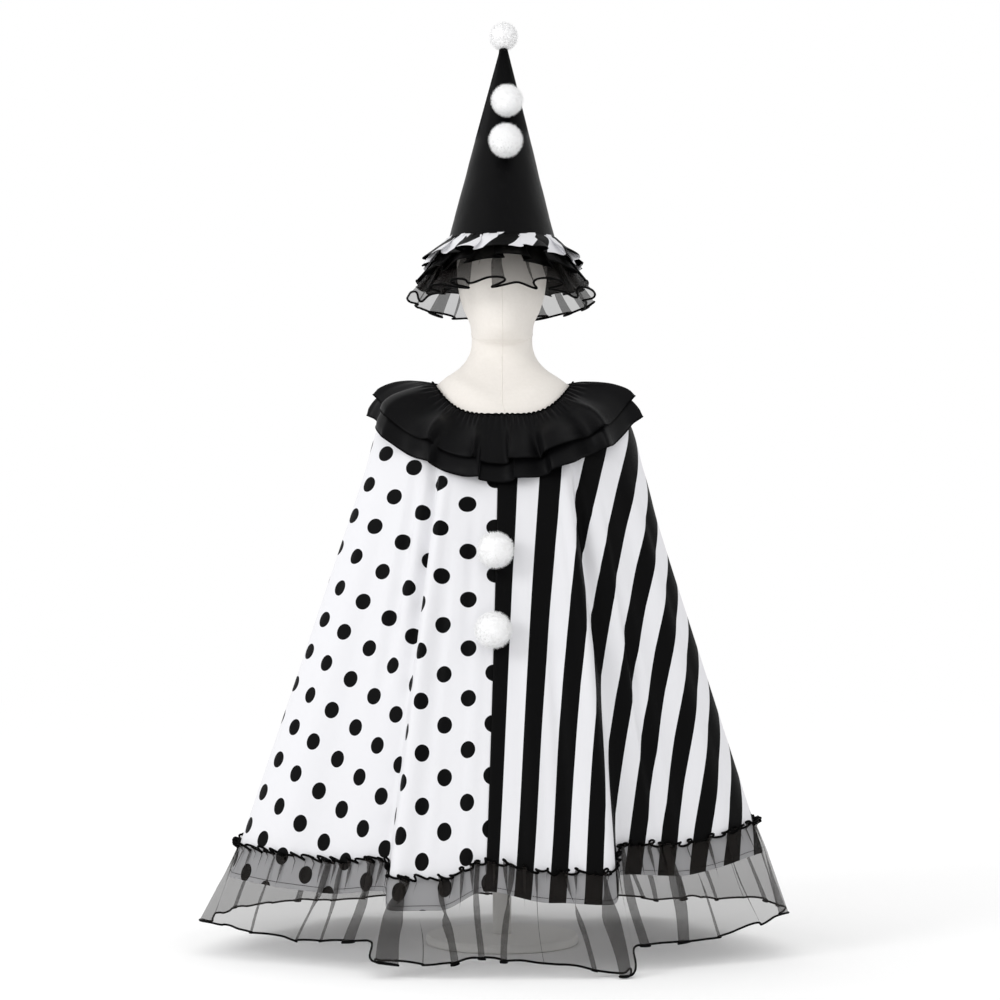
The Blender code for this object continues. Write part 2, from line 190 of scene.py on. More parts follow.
CLOTH_WALL = 0.002
SHEER_WALL = 0.0012
GAP = 0.0003  # between two layers that touch
CAPE_RINGS = table(
    "down left right front back z_front z_side z_back",
    (0, 0.121, 0.124, 0.11, 0.078, 0.898, 0.967, 0.99),
    (0.05, 0.163, 0.167, 0.127, 0.104, 0.858, 0.949, 0.96),
    (0.1, 0.203, 0.209, 0.142, 0.128, 0.82, 0.924, 0.922),
    (0.15, 0.223, 0.232, 0.155, 0.145, 0.778, 0.884, 0.878),
    (0.24, 0.246, 0.252, 0.171, 0.162, 0.708, 0.812, 0.806),
    (1, 0.47, 0.452, 0.325, 0.335, 0.12, 0.13, 0.12),
)
FOLDS = table(
    "top hem out lift flounce",
    (-180, -180, -0.006, 0, 0.038),
    (-158, -160, -0.066, 0.022, 0.052),
    (-133, -136, 0.016, -0.004, 0.034),
    (-112, -114, -0.052, 0.018, 0.05),
    (-92, -92, -0.035, 0.004, 0.054),
    (-78, -76, 0.008, -0.006, 0.055),
    (-56, -53, -0.045, -0.017, 0.04),
    (-42, -37, -0.046, -0.006, 0.046),
    (-32, -28, 0.019, -0.026, 0.028),
    (-20, -17, 0.006, -0.024, 0.022),
    (-2.5, -4.6, 0, 0.006, 0.034),
    (20, 14, 0.006, -0.012, 0.022),
    (36, 28, 0.019, -0.017, 0.008),
    (47, 37, -0.04, 0.02, 0.04),
    (60, 54, -0.026, 0.012, 0.043),
    (74, 72, 0.014, 0.036, 0.072),
    (92, 92, -0.035, 0.036, 0.072),
    (113, 115, -0.056, 0.034, 0.058),
    (134, 137, 0.018, 0.01, 0.036),
    (158, 161, -0.068, 0.024, 0.052),
    (180, 180, -0.006, 0, 0.038),
)
FOLD_START, FOLD_SPREAD = 0.08, 0.06  # where the folds open, and how softly, in shares of the length
SCOOP_END = 0.16  # the neckline is scooped, and the cape below this share of its length isn't
SEAMS = (-4.6, 92.0, 180.0, 268.0, 355.4)  # centre front, striped side, centre back, dotted side, front
print("cape rings:", len(CAPE_RINGS["down"]), "drape lines:", len(FOLDS["hem"]))

# %% Curves and rings
def unit(vectors):
    """The same directions, each one metre long."""
    return vectors / np.maximum(np.linalg.norm(vectors, axis=-1, keepdims=True), 1e-9)


def run(points):
    """How far along a line, or down a grid, each of its points is."""
    steps = np.linalg.norm(np.diff(points, axis=0), axis=-1)
    return np.insert(np.cumsum(steps, axis=0), 0, 0, axis=0)


def between(x, xs):
    """The row of a table before each value, and its share of the way to the next row."""
    place = np.clip(np.searchsorted(xs, x, side="right") - 1, 0, len(xs) - 2)
    return place, np.clip((x - xs[place]) / (xs[place + 1] - xs[place]), 0, 1)


def smooth(x, xs, ys):
    """Values on one smooth curve through the rows of a table, with no overshoot between them."""
    step = np.diff(xs).reshape(-1, *[1] * (ys.ndim - 1))
    rise = np.diff(ys, axis=0) / step
    before, after = rise[:-1], rise[1:]
    total = np.where(before + after == 0, 1, before + after)
    middle = np.where(before * after > 0, 2 * before * after / total, 0)
    slope = np.concatenate([rise[:1], middle, rise[-1:]])
    place, share = between(x, xs)
    if ys.ndim > 1:
        share = share.reshape(-1, *[1] * (ys.ndim - 1))
    low, gain = ys[place], ys[place + 1] - ys[place]
    first, last = slope[place] * step[place], slope[place + 1] * step[place]
    return low + share * (first + share * (3 * gain - 2 * first - last + share * (first + last - 2 * gain)))


def ease(x, xs, ys):
    """Values between the rows of a table, level at each row."""
    place, share = between(x, xs)
    return ys[place] + (ys[place + 1] - ys[place]) * share * share * (3 - 2 * share)


def step_up(x, low, high):
    """0 below low, 1 above high, and a soft step between."""
    share = np.clip((x - low) / (high - low), 0, 1)
    return share * share * (3 - 2 * share)


def ring_points(azimuth, left, right, front, back, z_front, z_side, z_back, out=0.0, scoop=0.0):
    """Points of an oval ring with its own reach and height on each side, moved out from the axis.

    scoop keeps the ring low for longer on its way from the front to the sides."""
    across, ahead = np.sin(azimuth), np.cos(azimuth)
    side, depth = np.where(across > 0, right, left), np.where(ahead > 0, front, back)
    reach = 1 / np.hypot(across / side, ahead / depth) + out
    sideways = across**2 * (1 - np.where(ahead > 0, scoop, 0) * ahead**2)
    z = np.where(ahead > 0, z_front, z_back) * (1 - sideways) + z_side * sideways
    return np.stack([reach * across, -reach * ahead, z + 0 * azimuth], axis=-1)


def wrap(line):
    """Degrees from -180 to 180."""
    return (line + 180) % 360 - 180


def normals(points, closed=True):
    """Outward normals of a grid that has its rows from top to bottom and its columns all round."""
    along = np.gradient(points, axis=1)
    if closed:
        along = np.roll(points, -1, axis=1) - np.roll(points, 1, axis=1)
    return unit(np.cross(np.gradient(points, axis=0), along))


print("smooth curve check:", float(smooth(np.array([0.5]), np.array([0.0, 1, 2]), np.array([0.0, 1, 2]))[0]))

# %% [markdown]
# ## Creases
#
# A solid has the big folds only. Real satin also breaks into narrow, uneven creases, here 2 to 13 mm
# deep, which start under the ruff and open or die out on the way down. A simulation would put them
# anywhere, so they are placed one by one, each on a drape line with its own width, depth and ends.

# %% Creases placed one by one
# azimuth at the hem, half width in degrees, height (valleys are negative), and where it starts and ends
CREASES = table(
    "line half height start end",
    (-84, 7, -0.0085, 0.15, 0.9),
    (-64, 6, 0.007, 0.22, 1.1),
    (-47, 4.5, -0.0075, 0.12, 0.75),
    (-33, 3.5, 0.0035, 0.1, 0.7),
    (-23.5, 3.6, -0.0052, 0.24, 1.1),
    (-14, 3.4, -0.003, 0.14, 0.62),
    (-10, 2.8, 0.0022, 0.4, 1.1),
    (4, 4.2, -0.0026, 0.2, 0.66),
    (8.5, 3.6, 0.004, 0.46, 1.1),
    (18, 3.6, -0.005, 0.3, 1.1),
    (24, 3.2, 0.0026, 0.14, 0.58),
    (44, 4.5, 0.0065, 0.2, 0.8),
    (49, 3.6, -0.007, 0.42, 1.1),
    (63, 5.5, 0.0075, 0.18, 1.1),
    (81, 6.5, -0.009, 0.26, 1.1),
    (103, 6, 0.005, 0.16, 0.86),
    (124, 6.5, -0.0056, 0.22, 1.1),
    (131, 4, 0.004, 0.5, 1.1),
    (147, 5.5, 0.0048, 0.14, 0.78),
    (170, 5, -0.005, 0.3, 1.1),
    (-171, 6, 0.0046, 0.16, 0.92),
    (-148, 5.5, -0.0056, 0.24, 1.1),
    (-125, 6, 0.005, 0.18, 0.84),
    (-104, 5, -0.0045, 0.34, 1.1),
    (-36.5, 4.4, -0.013, 0.06, 0.66),
    (-29, 3.6, 0.006, 0.08, 0.76),
    (36, 4.4, -0.013, 0.06, 0.66),
    (28.5, 3.6, 0.006, 0.08, 0.76),
)
CREASE_OPENS, CREASE_CLOSES = 0.22, 0.25  # the shares of the length that a crease takes to come and go


def crease_height(line, down):
    """How far the creases lift the cloth off the plain drape."""
    height = np.zeros(np.broadcast(line, down).shape)
    for at, half, rise, start, end in zip(*CREASES.values()):
        near = np.clip(1 - (wrap(line - at) / half) ** 2, 0, 1) ** 2
        here = step_up(down, start, start + CREASE_OPENS) * (1 - step_up(down, end - CREASE_CLOSES, end))
        height += rise * near * here
    return height


def cape_points(line, down, creased=True):
    """The cape's outer face at drape lines (degrees at the hem) and shares of its length."""
    line = wrap(line)
    lean = smooth(line, FOLDS["hem"], FOLDS["top"] - FOLDS["hem"])
    azimuth = np.radians(line + lean * (1 - down))
    opened = step_up(down, FOLD_START - FOLD_SPREAD, FOLD_START + FOLD_SPREAD) * np.clip(
        (down - FOLD_START) / (1 - FOLD_START), 0.002, 1)
    shares, *columns = CAPE_RINGS.values()
    ring = [smooth(down, shares, column) for column in columns]
    out = ease(line, FOLDS["hem"], FOLDS["out"]) * opened
    if creased:
        out = out + crease_height(line, down)
    points = ring_points(azimuth, *ring, out=out, scoop=1 - step_up(down, 0.0, SCOOP_END))
    points[..., 2] += ease(line, FOLDS["hem"], FOLDS["lift"]) * opened
    return points


def cape_grid(lines, downs, creased=True):
    """A grid of the cape's outer face."""
    return cape_points(*np.meshgrid(lines, downs), creased)


print("creases:", len(CREASES["line"]), "deepest", CREASES["height"].min())

# %% Drape lines evenly spaced along the hem
HEM_STEPS = 721  # in each quarter


def hem_share_table():
    """Dense drape lines all round, with each one's place in quarters by the length of the hem."""
    lines, places = [], []
    for quarter, (start, end) in enumerate(zip(SEAMS, SEAMS[1:])):
        fine = np.linspace(start, end, HEM_STEPS)
        length = run(cape_points(fine, np.ones(HEM_STEPS), creased=False))
        lines.append(fine[:-1])
        places.append(quarter + length[:-1] / length[-1])
        print("quarter", quarter, "hem", round(length[-1], 3), "m")
    return np.append(np.concatenate(lines), SEAMS[-1]), np.append(np.concatenate(places), 4.0)


DENSE_LINES, DENSE_PLACES = hem_share_table()


def line_at(quarters):
    """The drape line at a place counted in quarters from the centre front seam."""
    return np.interp(np.mod(quarters, 4), DENSE_PLACES, DENSE_LINES)


# %% [markdown]
# ## Meshes of cloth
#
# A cloth is a grid: rows run down and columns run round. The grid becomes a mesh with a UV map in metres
# of flat cloth, so a print keeps its size whatever the cloth does. Thick cloths get a wall from Solidify.
# The sheer cloths stay single, because light has to pass through each layer once.

# %% Grid and tube builders
def link(name, points, faces, material):
    """A smooth mesh object in the scene."""
    mesh = bpy.data.meshes.new(name)
    mesh.from_pydata(np.asarray(points, float).tolist(), [], faces)
    mesh.materials.append(material)
    mesh.shade_smooth()
    piece = bpy.data.objects.new(name, mesh)
    bpy.context.scene.collection.objects.link(piece)
    return piece


def cloth(name, grid, material, closed=False, uv=None, wall=None):
    """A grid of points as a sheet of cloth, with its flat coordinates and its thickness."""
    index = np.arange(grid[..., 0].size).reshape(grid.shape[:2])
    beside = np.roll(index, -1, axis=1)
    if not closed:
        index, beside = index[:, :-1], beside[:, :-1]
    faces = np.stack([index[:-1], index[1:], beside[1:], beside[:-1]], axis=-1).reshape(-1, 4)
    piece = link(name, grid.reshape(-1, 3), faces.tolist(), material)
    if uv is not None:
        layer = piece.data.uv_layers.new(name="flat_cloth")
        layer.data.foreach_set("uv", uv.reshape(-1, 2)[faces.ravel()].astype(np.float32).ravel())
    if wall:
        shell = piece.modifiers.new("wall", "SOLIDIFY")
        shell.thickness, shell.offset = wall, -1
        bpy.context.view_layer.objects.active = piece
        bpy.ops.object.modifier_apply(modifier=shell.name)
    return piece


def tube(name, paths, radius, material, closed, sides=6):
    """Round threads along one or more paths, with their ends closed."""
    points, faces = [], []
    around = np.arange(sides)[:, None] * 2 * math.pi / sides
    for path in paths:
        along = np.gradient(path, axis=0)
        if closed:
            along = np.roll(path, -1, axis=0) - np.roll(path, 1, axis=0)
        along = unit(along)
        level = unit(np.cross(along, (0.0, 0.0, 1.0)))
        up = np.cross(level, along)
        rings = path[:, None] + radius * (level[:, None] * np.cos(around) + up[:, None] * np.sin(around))
        index = len(points) + np.arange(rings[..., 0].size).reshape(-1, sides)
        beside = np.roll(index, -1, axis=1)
        quads = np.stack([index, beside, np.roll(beside, -1, axis=0), np.roll(index, -1, axis=0)], axis=-1)
        points.extend(rings.reshape(-1, 3))
        faces += (quads if closed else quads[:-1]).reshape(-1, 4).tolist()
        if not closed:
            faces += [index[0, ::-1].tolist(), index[-1].tolist()]
    return link(name, points, faces, material)


def triangles(piece):
    piece.data.calc_loop_triangles()
    return len(piece.data.loop_triangles)


print("builders ready")

# %% [markdown]
# ## Printed satin
#
# The cape is polyester satin, woven bright white and printed in black. Its threads lie 0.15 mm apart, too
# fine to show, so the weave is drawn at 0.9 mm as a faint bump. The satin face gives a soft sheen along
# the folds. The dots stand on a lattice turned 45 degrees, and the stripes run with the centre seams.

# %% Printed satins
THREAD, THREAD_DEPTH, RUMPLE = 0.0009, 0.0002, 0.0012
STRIPE = 0.032
FIRST_STRIPE = 0.027  # the black one at the centre seam
DOT_RADIUS = 0.0137
DOT_COLUMN = 0.0428  # from one column of dots to the next
DOT_PITCH = 0.0830  # from one dot of a column to the next
SATIN_WHITE = "#DEDEE1"


def woven_bump(material, shader, vector, yarn, depth, rumple=0.0):
    """Crossed threads as bump, and under them the soft rumple of handled cloth."""
    wave = {"Vector": vector, "Scale": 0.5 / yarn, "Distortion": 0.6, "Detail": 1.0}
    yarns = [add(material, "ShaderNodeTexWave", wave, bands_direction=axis).outputs["Fac"] for axis in "XY"]
    cross = calculate(material, "MULTIPLY", *yarns)
    bump = add(material, "ShaderNodeBump", {"Height": cross, "Strength": 0.35, "Distance": depth})
    if rumple:
        soft = add(material, "ShaderNodeTexNoise", {"Vector": vector, "Scale": 26.0, "Detail": 3.0})
        bump = add(material, "ShaderNodeBump", {"Height": soft.outputs["Fac"], "Strength": 0.5,
                                                "Distance": rumple, "Normal": bump.outputs["Normal"]})
    material.node_tree.links.new(bump.outputs["Normal"], shader.inputs["Normal"])


def printed_satin(name):
    """White satin ready for a print: its material, shader and flat coordinates."""
    material, shader = new_material(name, SATIN_WHITE, 0.5, Specular_IOR_Level=0.06)
    flat = add(material, "ShaderNodeUVMap", uv_map="flat_cloth")
    woven_bump(material, shader, flat.outputs["UV"], THREAD, THREAD_DEPTH, rumple=RUMPLE)
    return material, shader, flat.outputs["UV"]


def ink(material, shader, mask, vector):
    """Prints black where the mask is 1, a little uneven as ink on cloth is."""
    black = mottled(material, vector, 60.0, 2.0, linear("#020202"), linear("#050506"))
    shade = add(material, "ShaderNodeMix", {0: mask, 6: linear(SATIN_WHITE), 7: black}, data_type="RGBA")
    material.node_tree.links.new(shade.outputs[2], shader.inputs["Base Color"])


def striped_satin(name, first=FIRST_STRIPE, angle=0.0):
    """Black and white stripes along the cloth's length; first is the width of the seam's black one."""
    material, shader, flat = printed_satin(name)
    turned = add(material, "ShaderNodeMapping", {"Vector": flat, "Rotation": (0, 0, math.radians(angle))})
    across = add(material, "ShaderNodeSeparateXYZ", {0: turned.outputs[0]}).outputs["X"]
    shifted = calculate(material, "ADD", across, STRIPE - first)
    place = calculate(material, "FRACT", calculate(material, "DIVIDE", shifted, 2 * STRIPE))
    ink(material, shader, calculate(material, "LESS_THAN", place, 0.5), flat)
    return material


def dotted_satin(name):
    """Black dots on a lattice turned 45 degrees: two square lattices, the second between the first."""
    material, shader, flat = printed_satin(name)
    pitch = (2 * DOT_COLUMN, DOT_PITCH, 1.0)
    gaps = []
    for share in (0.5, 1.0):
        place = flat
        for operation, *value in (("ADD", (share * pitch[0], share * pitch[1], 0)), ("DIVIDE", pitch),
                                  ("FRACTION",), ("SUBTRACT", (0.5, 0.5, 0)),
                                  ("MULTIPLY", (*pitch[:2], 0)), ("LENGTH",)):
            place = calculate(material, operation, place, *value, kind="ShaderNodeVectorMath")
        gaps.append(place)
    nearest = calculate(material, "MINIMUM", *gaps)
    ink(material, shader, calculate(material, "LESS_THAN", nearest, DOT_RADIUS), flat)
    return material


dots, stripes = dotted_satin("dotted_satin"), striped_satin("striped_satin")
print("stripe", STRIPE, "dot", 2 * DOT_RADIUS)

# %% [markdown]
# ## The cape
#
# The cape is cut as parts of a circle, so its hem flares into folds while the neck stays smooth. Each
# quarter is a fine grid over the solid's rings. Its flat coordinates are worked out as a cutter would: the
# distance from the circle's centre and the angle from the centre seam, so the stripes start upright at
# the front and turn across the side folds, as they do in the photograph.

# %% Cut the four quarters
CUT_RADIUS = 1.09  # from the circle's centre to the hem
QUARTER_COLUMNS = 116
SEAM_COLUMNS = (0.0, 0.0006, 0.0022, 0.0050)  # the extra ones next to a seam, in shares of the quarter
FIRST_COLUMN = 0.0085
SATIN_WALL = 0.0009
FLAT_ROWS = 49
FLAT_COLUMNS = 62
RELAX_STEPS = 500
RELAX_SPEED = 1.5
SEAM_DIP = 0.0011
SEAM_WIDTH = 0.004
QUARTER_LENGTH = 0.73  # a quarter's hem, in metres


def quarter_lines(quarter):
    """Drape lines of a quarter: even along the hem, with extra ones next to its two seams."""
    near = np.array(SEAM_COLUMNS)
    inner = np.linspace(FIRST_COLUMN, 1 - FIRST_COLUMN, QUARTER_COLUMNS)
    # The last line stays just short of a whole turn
    return line_at(np.minimum(quarter + np.concatenate([near, inner, 1 - near[::-1]]), 3.9999999))


def relax(flat, cloth_points):
    """Moves flat points until their links are as long as the cloth's, with the first column straight."""
    links = ((np.s_[:-1], np.s_[1:]), (np.s_[:, :-1], np.s_[:, 1:]),
             (np.s_[:-1, :-1], np.s_[1:, 1:]), (np.s_[1:, :-1], np.s_[:-1, 1:]))
    lengths = [np.linalg.norm(cloth_points[other] - cloth_points[one], axis=-1) for one, other in links]
    share = np.zeros(flat.shape[:2])
    for one, other in links:
        share[one] += 1
        share[other] += 1
    for _ in range(RELAX_STEPS):
        move = np.zeros_like(flat)
        for (one, other), length in zip(links, lengths):
            gap = flat[other] - flat[one]
            now = np.linalg.norm(gap, axis=-1)
            pull = gap * ((now - length) / np.maximum(now, 1e-9) * 0.5)[..., None]
            move[one] += pull
            move[other] -= pull
        flat = flat + move / share[..., None] * RELAX_SPEED
        flat[:, 0, 0] = 0.0
    return flat


def spread(values, places, count):
    """Values for every row of a grid, from the ones at a few of its rows."""
    columns = values.reshape(len(values), -1).T
    rows = np.stack([np.interp(np.arange(count), places, column) for column in columns], axis=-1)
    return rows.reshape(count, *values.shape[1:])


def flat_cut(grid, from_end):
    """Flat coordinates of a quarter: u across and v up, from the centre of the circle it is cut from."""
    rows, columns = (np.round(np.linspace(0, count - 1, steps)).astype(int)
                     for count, steps in zip(grid.shape, (FLAT_ROWS, FLAT_COLUMNS)))
    coarse = grid[rows][:, columns]
    if from_end:
        coarse = coarse[:, ::-1]
    middle = FLAT_ROWS // 2
    fall = run(coarse)
    along = np.diff(coarse[middle], axis=0)
    grain = unit(coarse[middle + 1] - coarse[middle])
    drop = np.concatenate([[0], np.cumsum((along * grain[:-1]).sum(axis=-1))])
    level = np.sqrt(np.maximum(np.linalg.norm(along, axis=-1) ** 2 - np.diff(drop) ** 2, 0))
    radius = CUT_RADIUS - (fall[-1, 0] - fall[middle, 0]) + drop + fall - fall[middle]
    angle = np.concatenate([[0], np.cumsum(level / radius[middle, 1:])])
    flat = relax(np.stack([radius * np.sin(angle), -radius * np.cos(angle)], axis=-1), coarse)
    # The seam's foot stays where the cut has it
    flat[..., 1] += -CUT_RADIUS - flat[-1, 0, 1]
    if from_end:
        flat = flat[:, ::-1]
    x, y = np.concatenate([flat[0], flat[1:, -1], flat[-1, -2::-1], flat[-2:0:-1, 0]]).T
    area = abs(float((x * np.roll(y, -1) - y * np.roll(x, -1)).sum() / 2))
    size = tuple(float(np.ptp(flat[..., axis])) for axis in (0, 1))
    print("flat cut", round(size[0], 3), "by", round(size[1], 3), "m")
    wide = spread(flat.swapaxes(0, 1), columns, grid.shape[1]).swapaxes(0, 1)
    return spread(wide, rows, len(grid)), area, size


def seam_dip(lines, quarter):
    """How far the cloth is drawn in next to its seams, where the stitches pull it."""
    place = np.interp(np.where(lines < SEAMS[quarter] - 1e-6, lines + 360, lines), DENSE_LINES, DENSE_PLACES)
    gap = np.minimum(np.abs(place - quarter), np.abs(quarter + 1 - place)) * QUARTER_LENGTH
    return SEAM_DIP * np.clip(1 - gap / SEAM_WIDTH, 0, 1) ** 2


QUARTERS = (
    ("cape_front_stripes", stripes, "striped_satin", False),
    ("cape_back_stripes", stripes, "striped_satin", True),
    ("cape_back_dots", dots, "dotted_satin", False),
    ("cape_front_dots", dots, "dotted_satin", True),
)
# The rows are closest under the ruff and at the hem
downs = np.concatenate([np.linspace(0.004, 0.30, 34), np.linspace(0.312, 0.985, 56),
                        [0.990, 0.995, 0.998, 1.0]])
cape = {}
for quarter, (name, satin, slot_name, from_end) in enumerate(QUARTERS):
    lines = quarter_lines(quarter)
    grid = cape_grid(lines, downs)
    grid -= normals(grid, closed=False) * seam_dip(lines, quarter)[None, :, None]
    uv, area, size = flat_cut(grid, from_end)
    piece = cloth(name + "_cloth", grid, satin, uv=uv, wall=SATIN_WALL)
    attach(piece, "root")
    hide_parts(name)
    cape[name] = (piece, area, size)
    print(name, "triangles", triangles(piece), "cut area", round(area, 3))

# %% [markdown]
# ## Black cloths
#
# The ruff is chiffon and the flounce and the hat's lower frills are organza: sheer plain weaves of fine
# black yarn. Chiffon in gathered layers reads as solid black with a soft grey bloom where folds turn.
# Organza is stiff and clear: one layer lets about half of the light through, and two look twice as dark.
# Its edges are rolled and stitched over with thick black thread.

# %% Black cloth materials
SHEER_WEAVE = (0.0011, 0.0001)  # thread and depth
SHEER_CLOUDS = (34.0, 3.0)  # scale and detail


def fabric(name, colour, roughness, weave=None, mottle=None, rumple=0.0, **sockets):
    """A material in the object's own coordinates.

    weave is the thread and its depth, and mottle is the scale, the detail and the two colours."""
    material, shader = new_material(name, colour, roughness, **sockets)
    place = add(material, "ShaderNodeTexCoord").outputs["Object"]
    if weave:
        woven_bump(material, shader, place, *weave, rumple)
    if mottle:
        material.node_tree.links.new(mottled(material, place, *mottle), shader.inputs["Base Color"])
    return material


def sheer(name, colour, alpha, roughness, **sockets):
    """Plain-woven cloth of fine yarn, which lets light through by its alpha."""
    lighter = [min(1, 1.7 * v) for v in linear(colour)[:3]] + [1.0]
    return fabric(name, colour, roughness, SHEER_WEAVE, (*SHEER_CLOUDS, linear(colour), lighter),
                  Alpha=alpha, **sockets)


chiffon = sheer("black_chiffon", "#050506", 1.0, 0.5, Sheen_Weight=0.02, Sheen_Roughness=0.35,
                Specular_IOR_Level=0.09)
organza = sheer("black_organza", "#1D1A18", 0.42, 0.45, Specular_IOR_Level=0.12)
frill_organza = sheer("black_frill_organza", "#171514", 0.44, 0.45, Specular_IOR_Level=0.12)
dense_organza = sheer("black_double_organza", "#020202", 0.97, 0.5, Specular_IOR_Level=0.02)
thread, _ = new_material("black_overlock_thread", "#030303", 0.7, Specular_IOR_Level=0.05)
print("black cloths:", [m.name for m in (chiffon, organza, frill_organza, dense_organza, thread)])

# %% [markdown]
# ## Folds of gathered strips
#
# A gathered strip hangs in flat panels with narrow folds between them, and each fold tips over sideways,
# so three layers show as a dark strip. A sine wave can't tip over. Here a fold moves the cloth along the
# strip: before the fold it runs ahead, then it turns back behind itself, which draws an S from above.

# %% Folds that tip over
AT_SEAM, GROWTH = 0.30, 1.5  # how much of a fold is there at the seam, and how fast the rest comes
WANDER = 0.3  # of its width, how far a fold strays on the way down


def folded(spot, fall, folds, period):
    """How far the folds of a strip move its points along the strip, outwards and down.

    spot and the folds' places count along the strip, and fall is 0 at the seam and 1 at the hem."""
    along, out, sink = (np.zeros(np.broadcast(spot, fall).shape) for _ in range(3))
    grown = np.clip(AT_SEAM + GROWTH * fall, 0, 1)
    for place, width, overlap, reach, slant, drop in zip(*folds.values()):
        drift = slant * (1 - fall) + WANDER * width * np.sin(5 * fall + 90 * place)
        gap = np.mod(spot - place + drift + period / 2, period) - period / 2
        x = gap / width
        along -= overlap * grown * gap * np.exp(-x * x / 2)
        out += reach * grown * x * np.exp(-x * x / 4)
        sink += drop * grown * np.exp(-x * x / 3)
    return along, out, sink


strips = {}


def gathered(node, kind, grid, material, slot, threads, closed=True, **options):
    """A gathered strip in place of its solid, with thread along some of its rows.

    threads are a name, a row, a radius and a number of sides each."""
    piece = cloth(f"{node}_{kind}", grid, material, closed=closed, **options)
    trims = [tube(f"{node}_{name}", [grid[row]], radius, thread, closed=closed, sides=sides)
             for name, row, radius, sides in threads]
    for part in (piece, *trims):
        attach(part, "root")
    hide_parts(node)
    strips[node] = (piece, trims, grid)
    print(node, "triangles", sum(triangles(part) for part in (piece, *trims)))


print("a fold with an overlap over 1 turns back on itself")

# %% [markdown]
# ## Hem flounce
#
# The flounce is a long strip of organza, gathered and sewn 45 mm above the cloth's edge, with a small
# heading that stands over the seam. The folds at the front follow the photograph one by one. The ones at
# the back are drawn at random, as the photograph doesn't show them. Fine gathers start at the seam and
# die out on the way down, and thick black thread covers both edges.

# %% Hem flounce folds
# place in quarters from the centre front, width, overlap, reach outwards (its sign is the layer on top),
# slant and drop
FRONT_FOLDS = (
    (-0.955, 0.011, 1.7, 0.004, 0, 0.002),
    (-0.84, 0.026, 2.4, 0.008, -0.01, 0.004),
    (-0.735, 0.009, 1.4, -0.003, 0.01, 0.001),
    (-0.64, 0.009, 1.5, 0.004, 0.02, 0.002),
    (-0.52, 0.01, 2.5, -0.005, -0.01, 0.004),
    (-0.463, 0.009, 1.6, 0.004, 0.01, 0.002),
    (-0.385, 0.013, 2.6, 0.006, 0, 0.004),
    (-0.222, 0.03, 3.4, -0.009, -0.01, 0.006),
    (-0.132, 0.009, 1.5, 0.004, 0.03, 0.002),
    (-0.066, 0.011, 2.7, 0.006, 0.05, 0.007),
    (-0.006, 0.01, 2.6, -0.006, 0.02, 0.005),
    (0.042, 0.01, 2.5, 0.006, -0.01, 0.007),
    (0.12, 0.008, 1.2, -0.002, 0.01, 0),
    (0.216, 0.01, 2.2, -0.005, 0.03, 0.003),
    (0.282, 0.024, 3.2, 0.008, 0.01, 0.006),
    (0.41, 0.012, 2.6, -0.006, 0.01, 0.004),
    (0.505, 0.019, 3, 0.007, -0.02, 0.005),
    (0.585, 0.009, 1.5, -0.003, 0.01, 0.001),
    (0.69, 0.01, 2.2, 0.005, 0.02, 0.004),
    (0.8, 0.018, 2.8, -0.007, -0.01, 0.005),
    (0.9, 0.01, 1.6, 0.004, 0.02, 0.002),
)
BACK_FOLD_COUNT = 22
rng = np.random.default_rng(11)
back_places = np.linspace(1.03, 2.97, BACK_FOLD_COUNT) + rng.uniform(-0.025, 0.025, BACK_FOLD_COUNT)
back_folds = [(place, rng.uniform(0.008, 0.022), rng.uniform(1.3, 3.1),
               rng.choice((-1, 1)) * rng.uniform(0.003, 0.007), rng.uniform(-0.03, 0.03),
               rng.uniform(0.001, 0.006)) for place in back_places]
FLOUNCE_FOLDS = table("place width overlap reach slant drop", *FRONT_FOLDS, *back_folds)
print("flounce folds:", len(FLOUNCE_FOLDS["place"]))

# %% Hem flounce
GATHER_DOWN = 0.950
HEADING_DOWN = 0.940
FLOUNCE_FLARE = 0.022
FLOUNCE_STAND = 0.015
PANEL_SWAY = 0.004
EDGE_FALL = 0.34  # of the fall, where the cape's own edge is
GATHERS = 43  # in each quarter
GATHER_STAND = 0.0013
HEADING_STAND = 0.0056
HEADING_CURL = 0.0054
HEADING_EDGE = 0.0020
FLOUNCE_COLUMNS = 520  # in each quarter
ROLLED_EDGE = 0.0018
EDGE_SIDES = 5


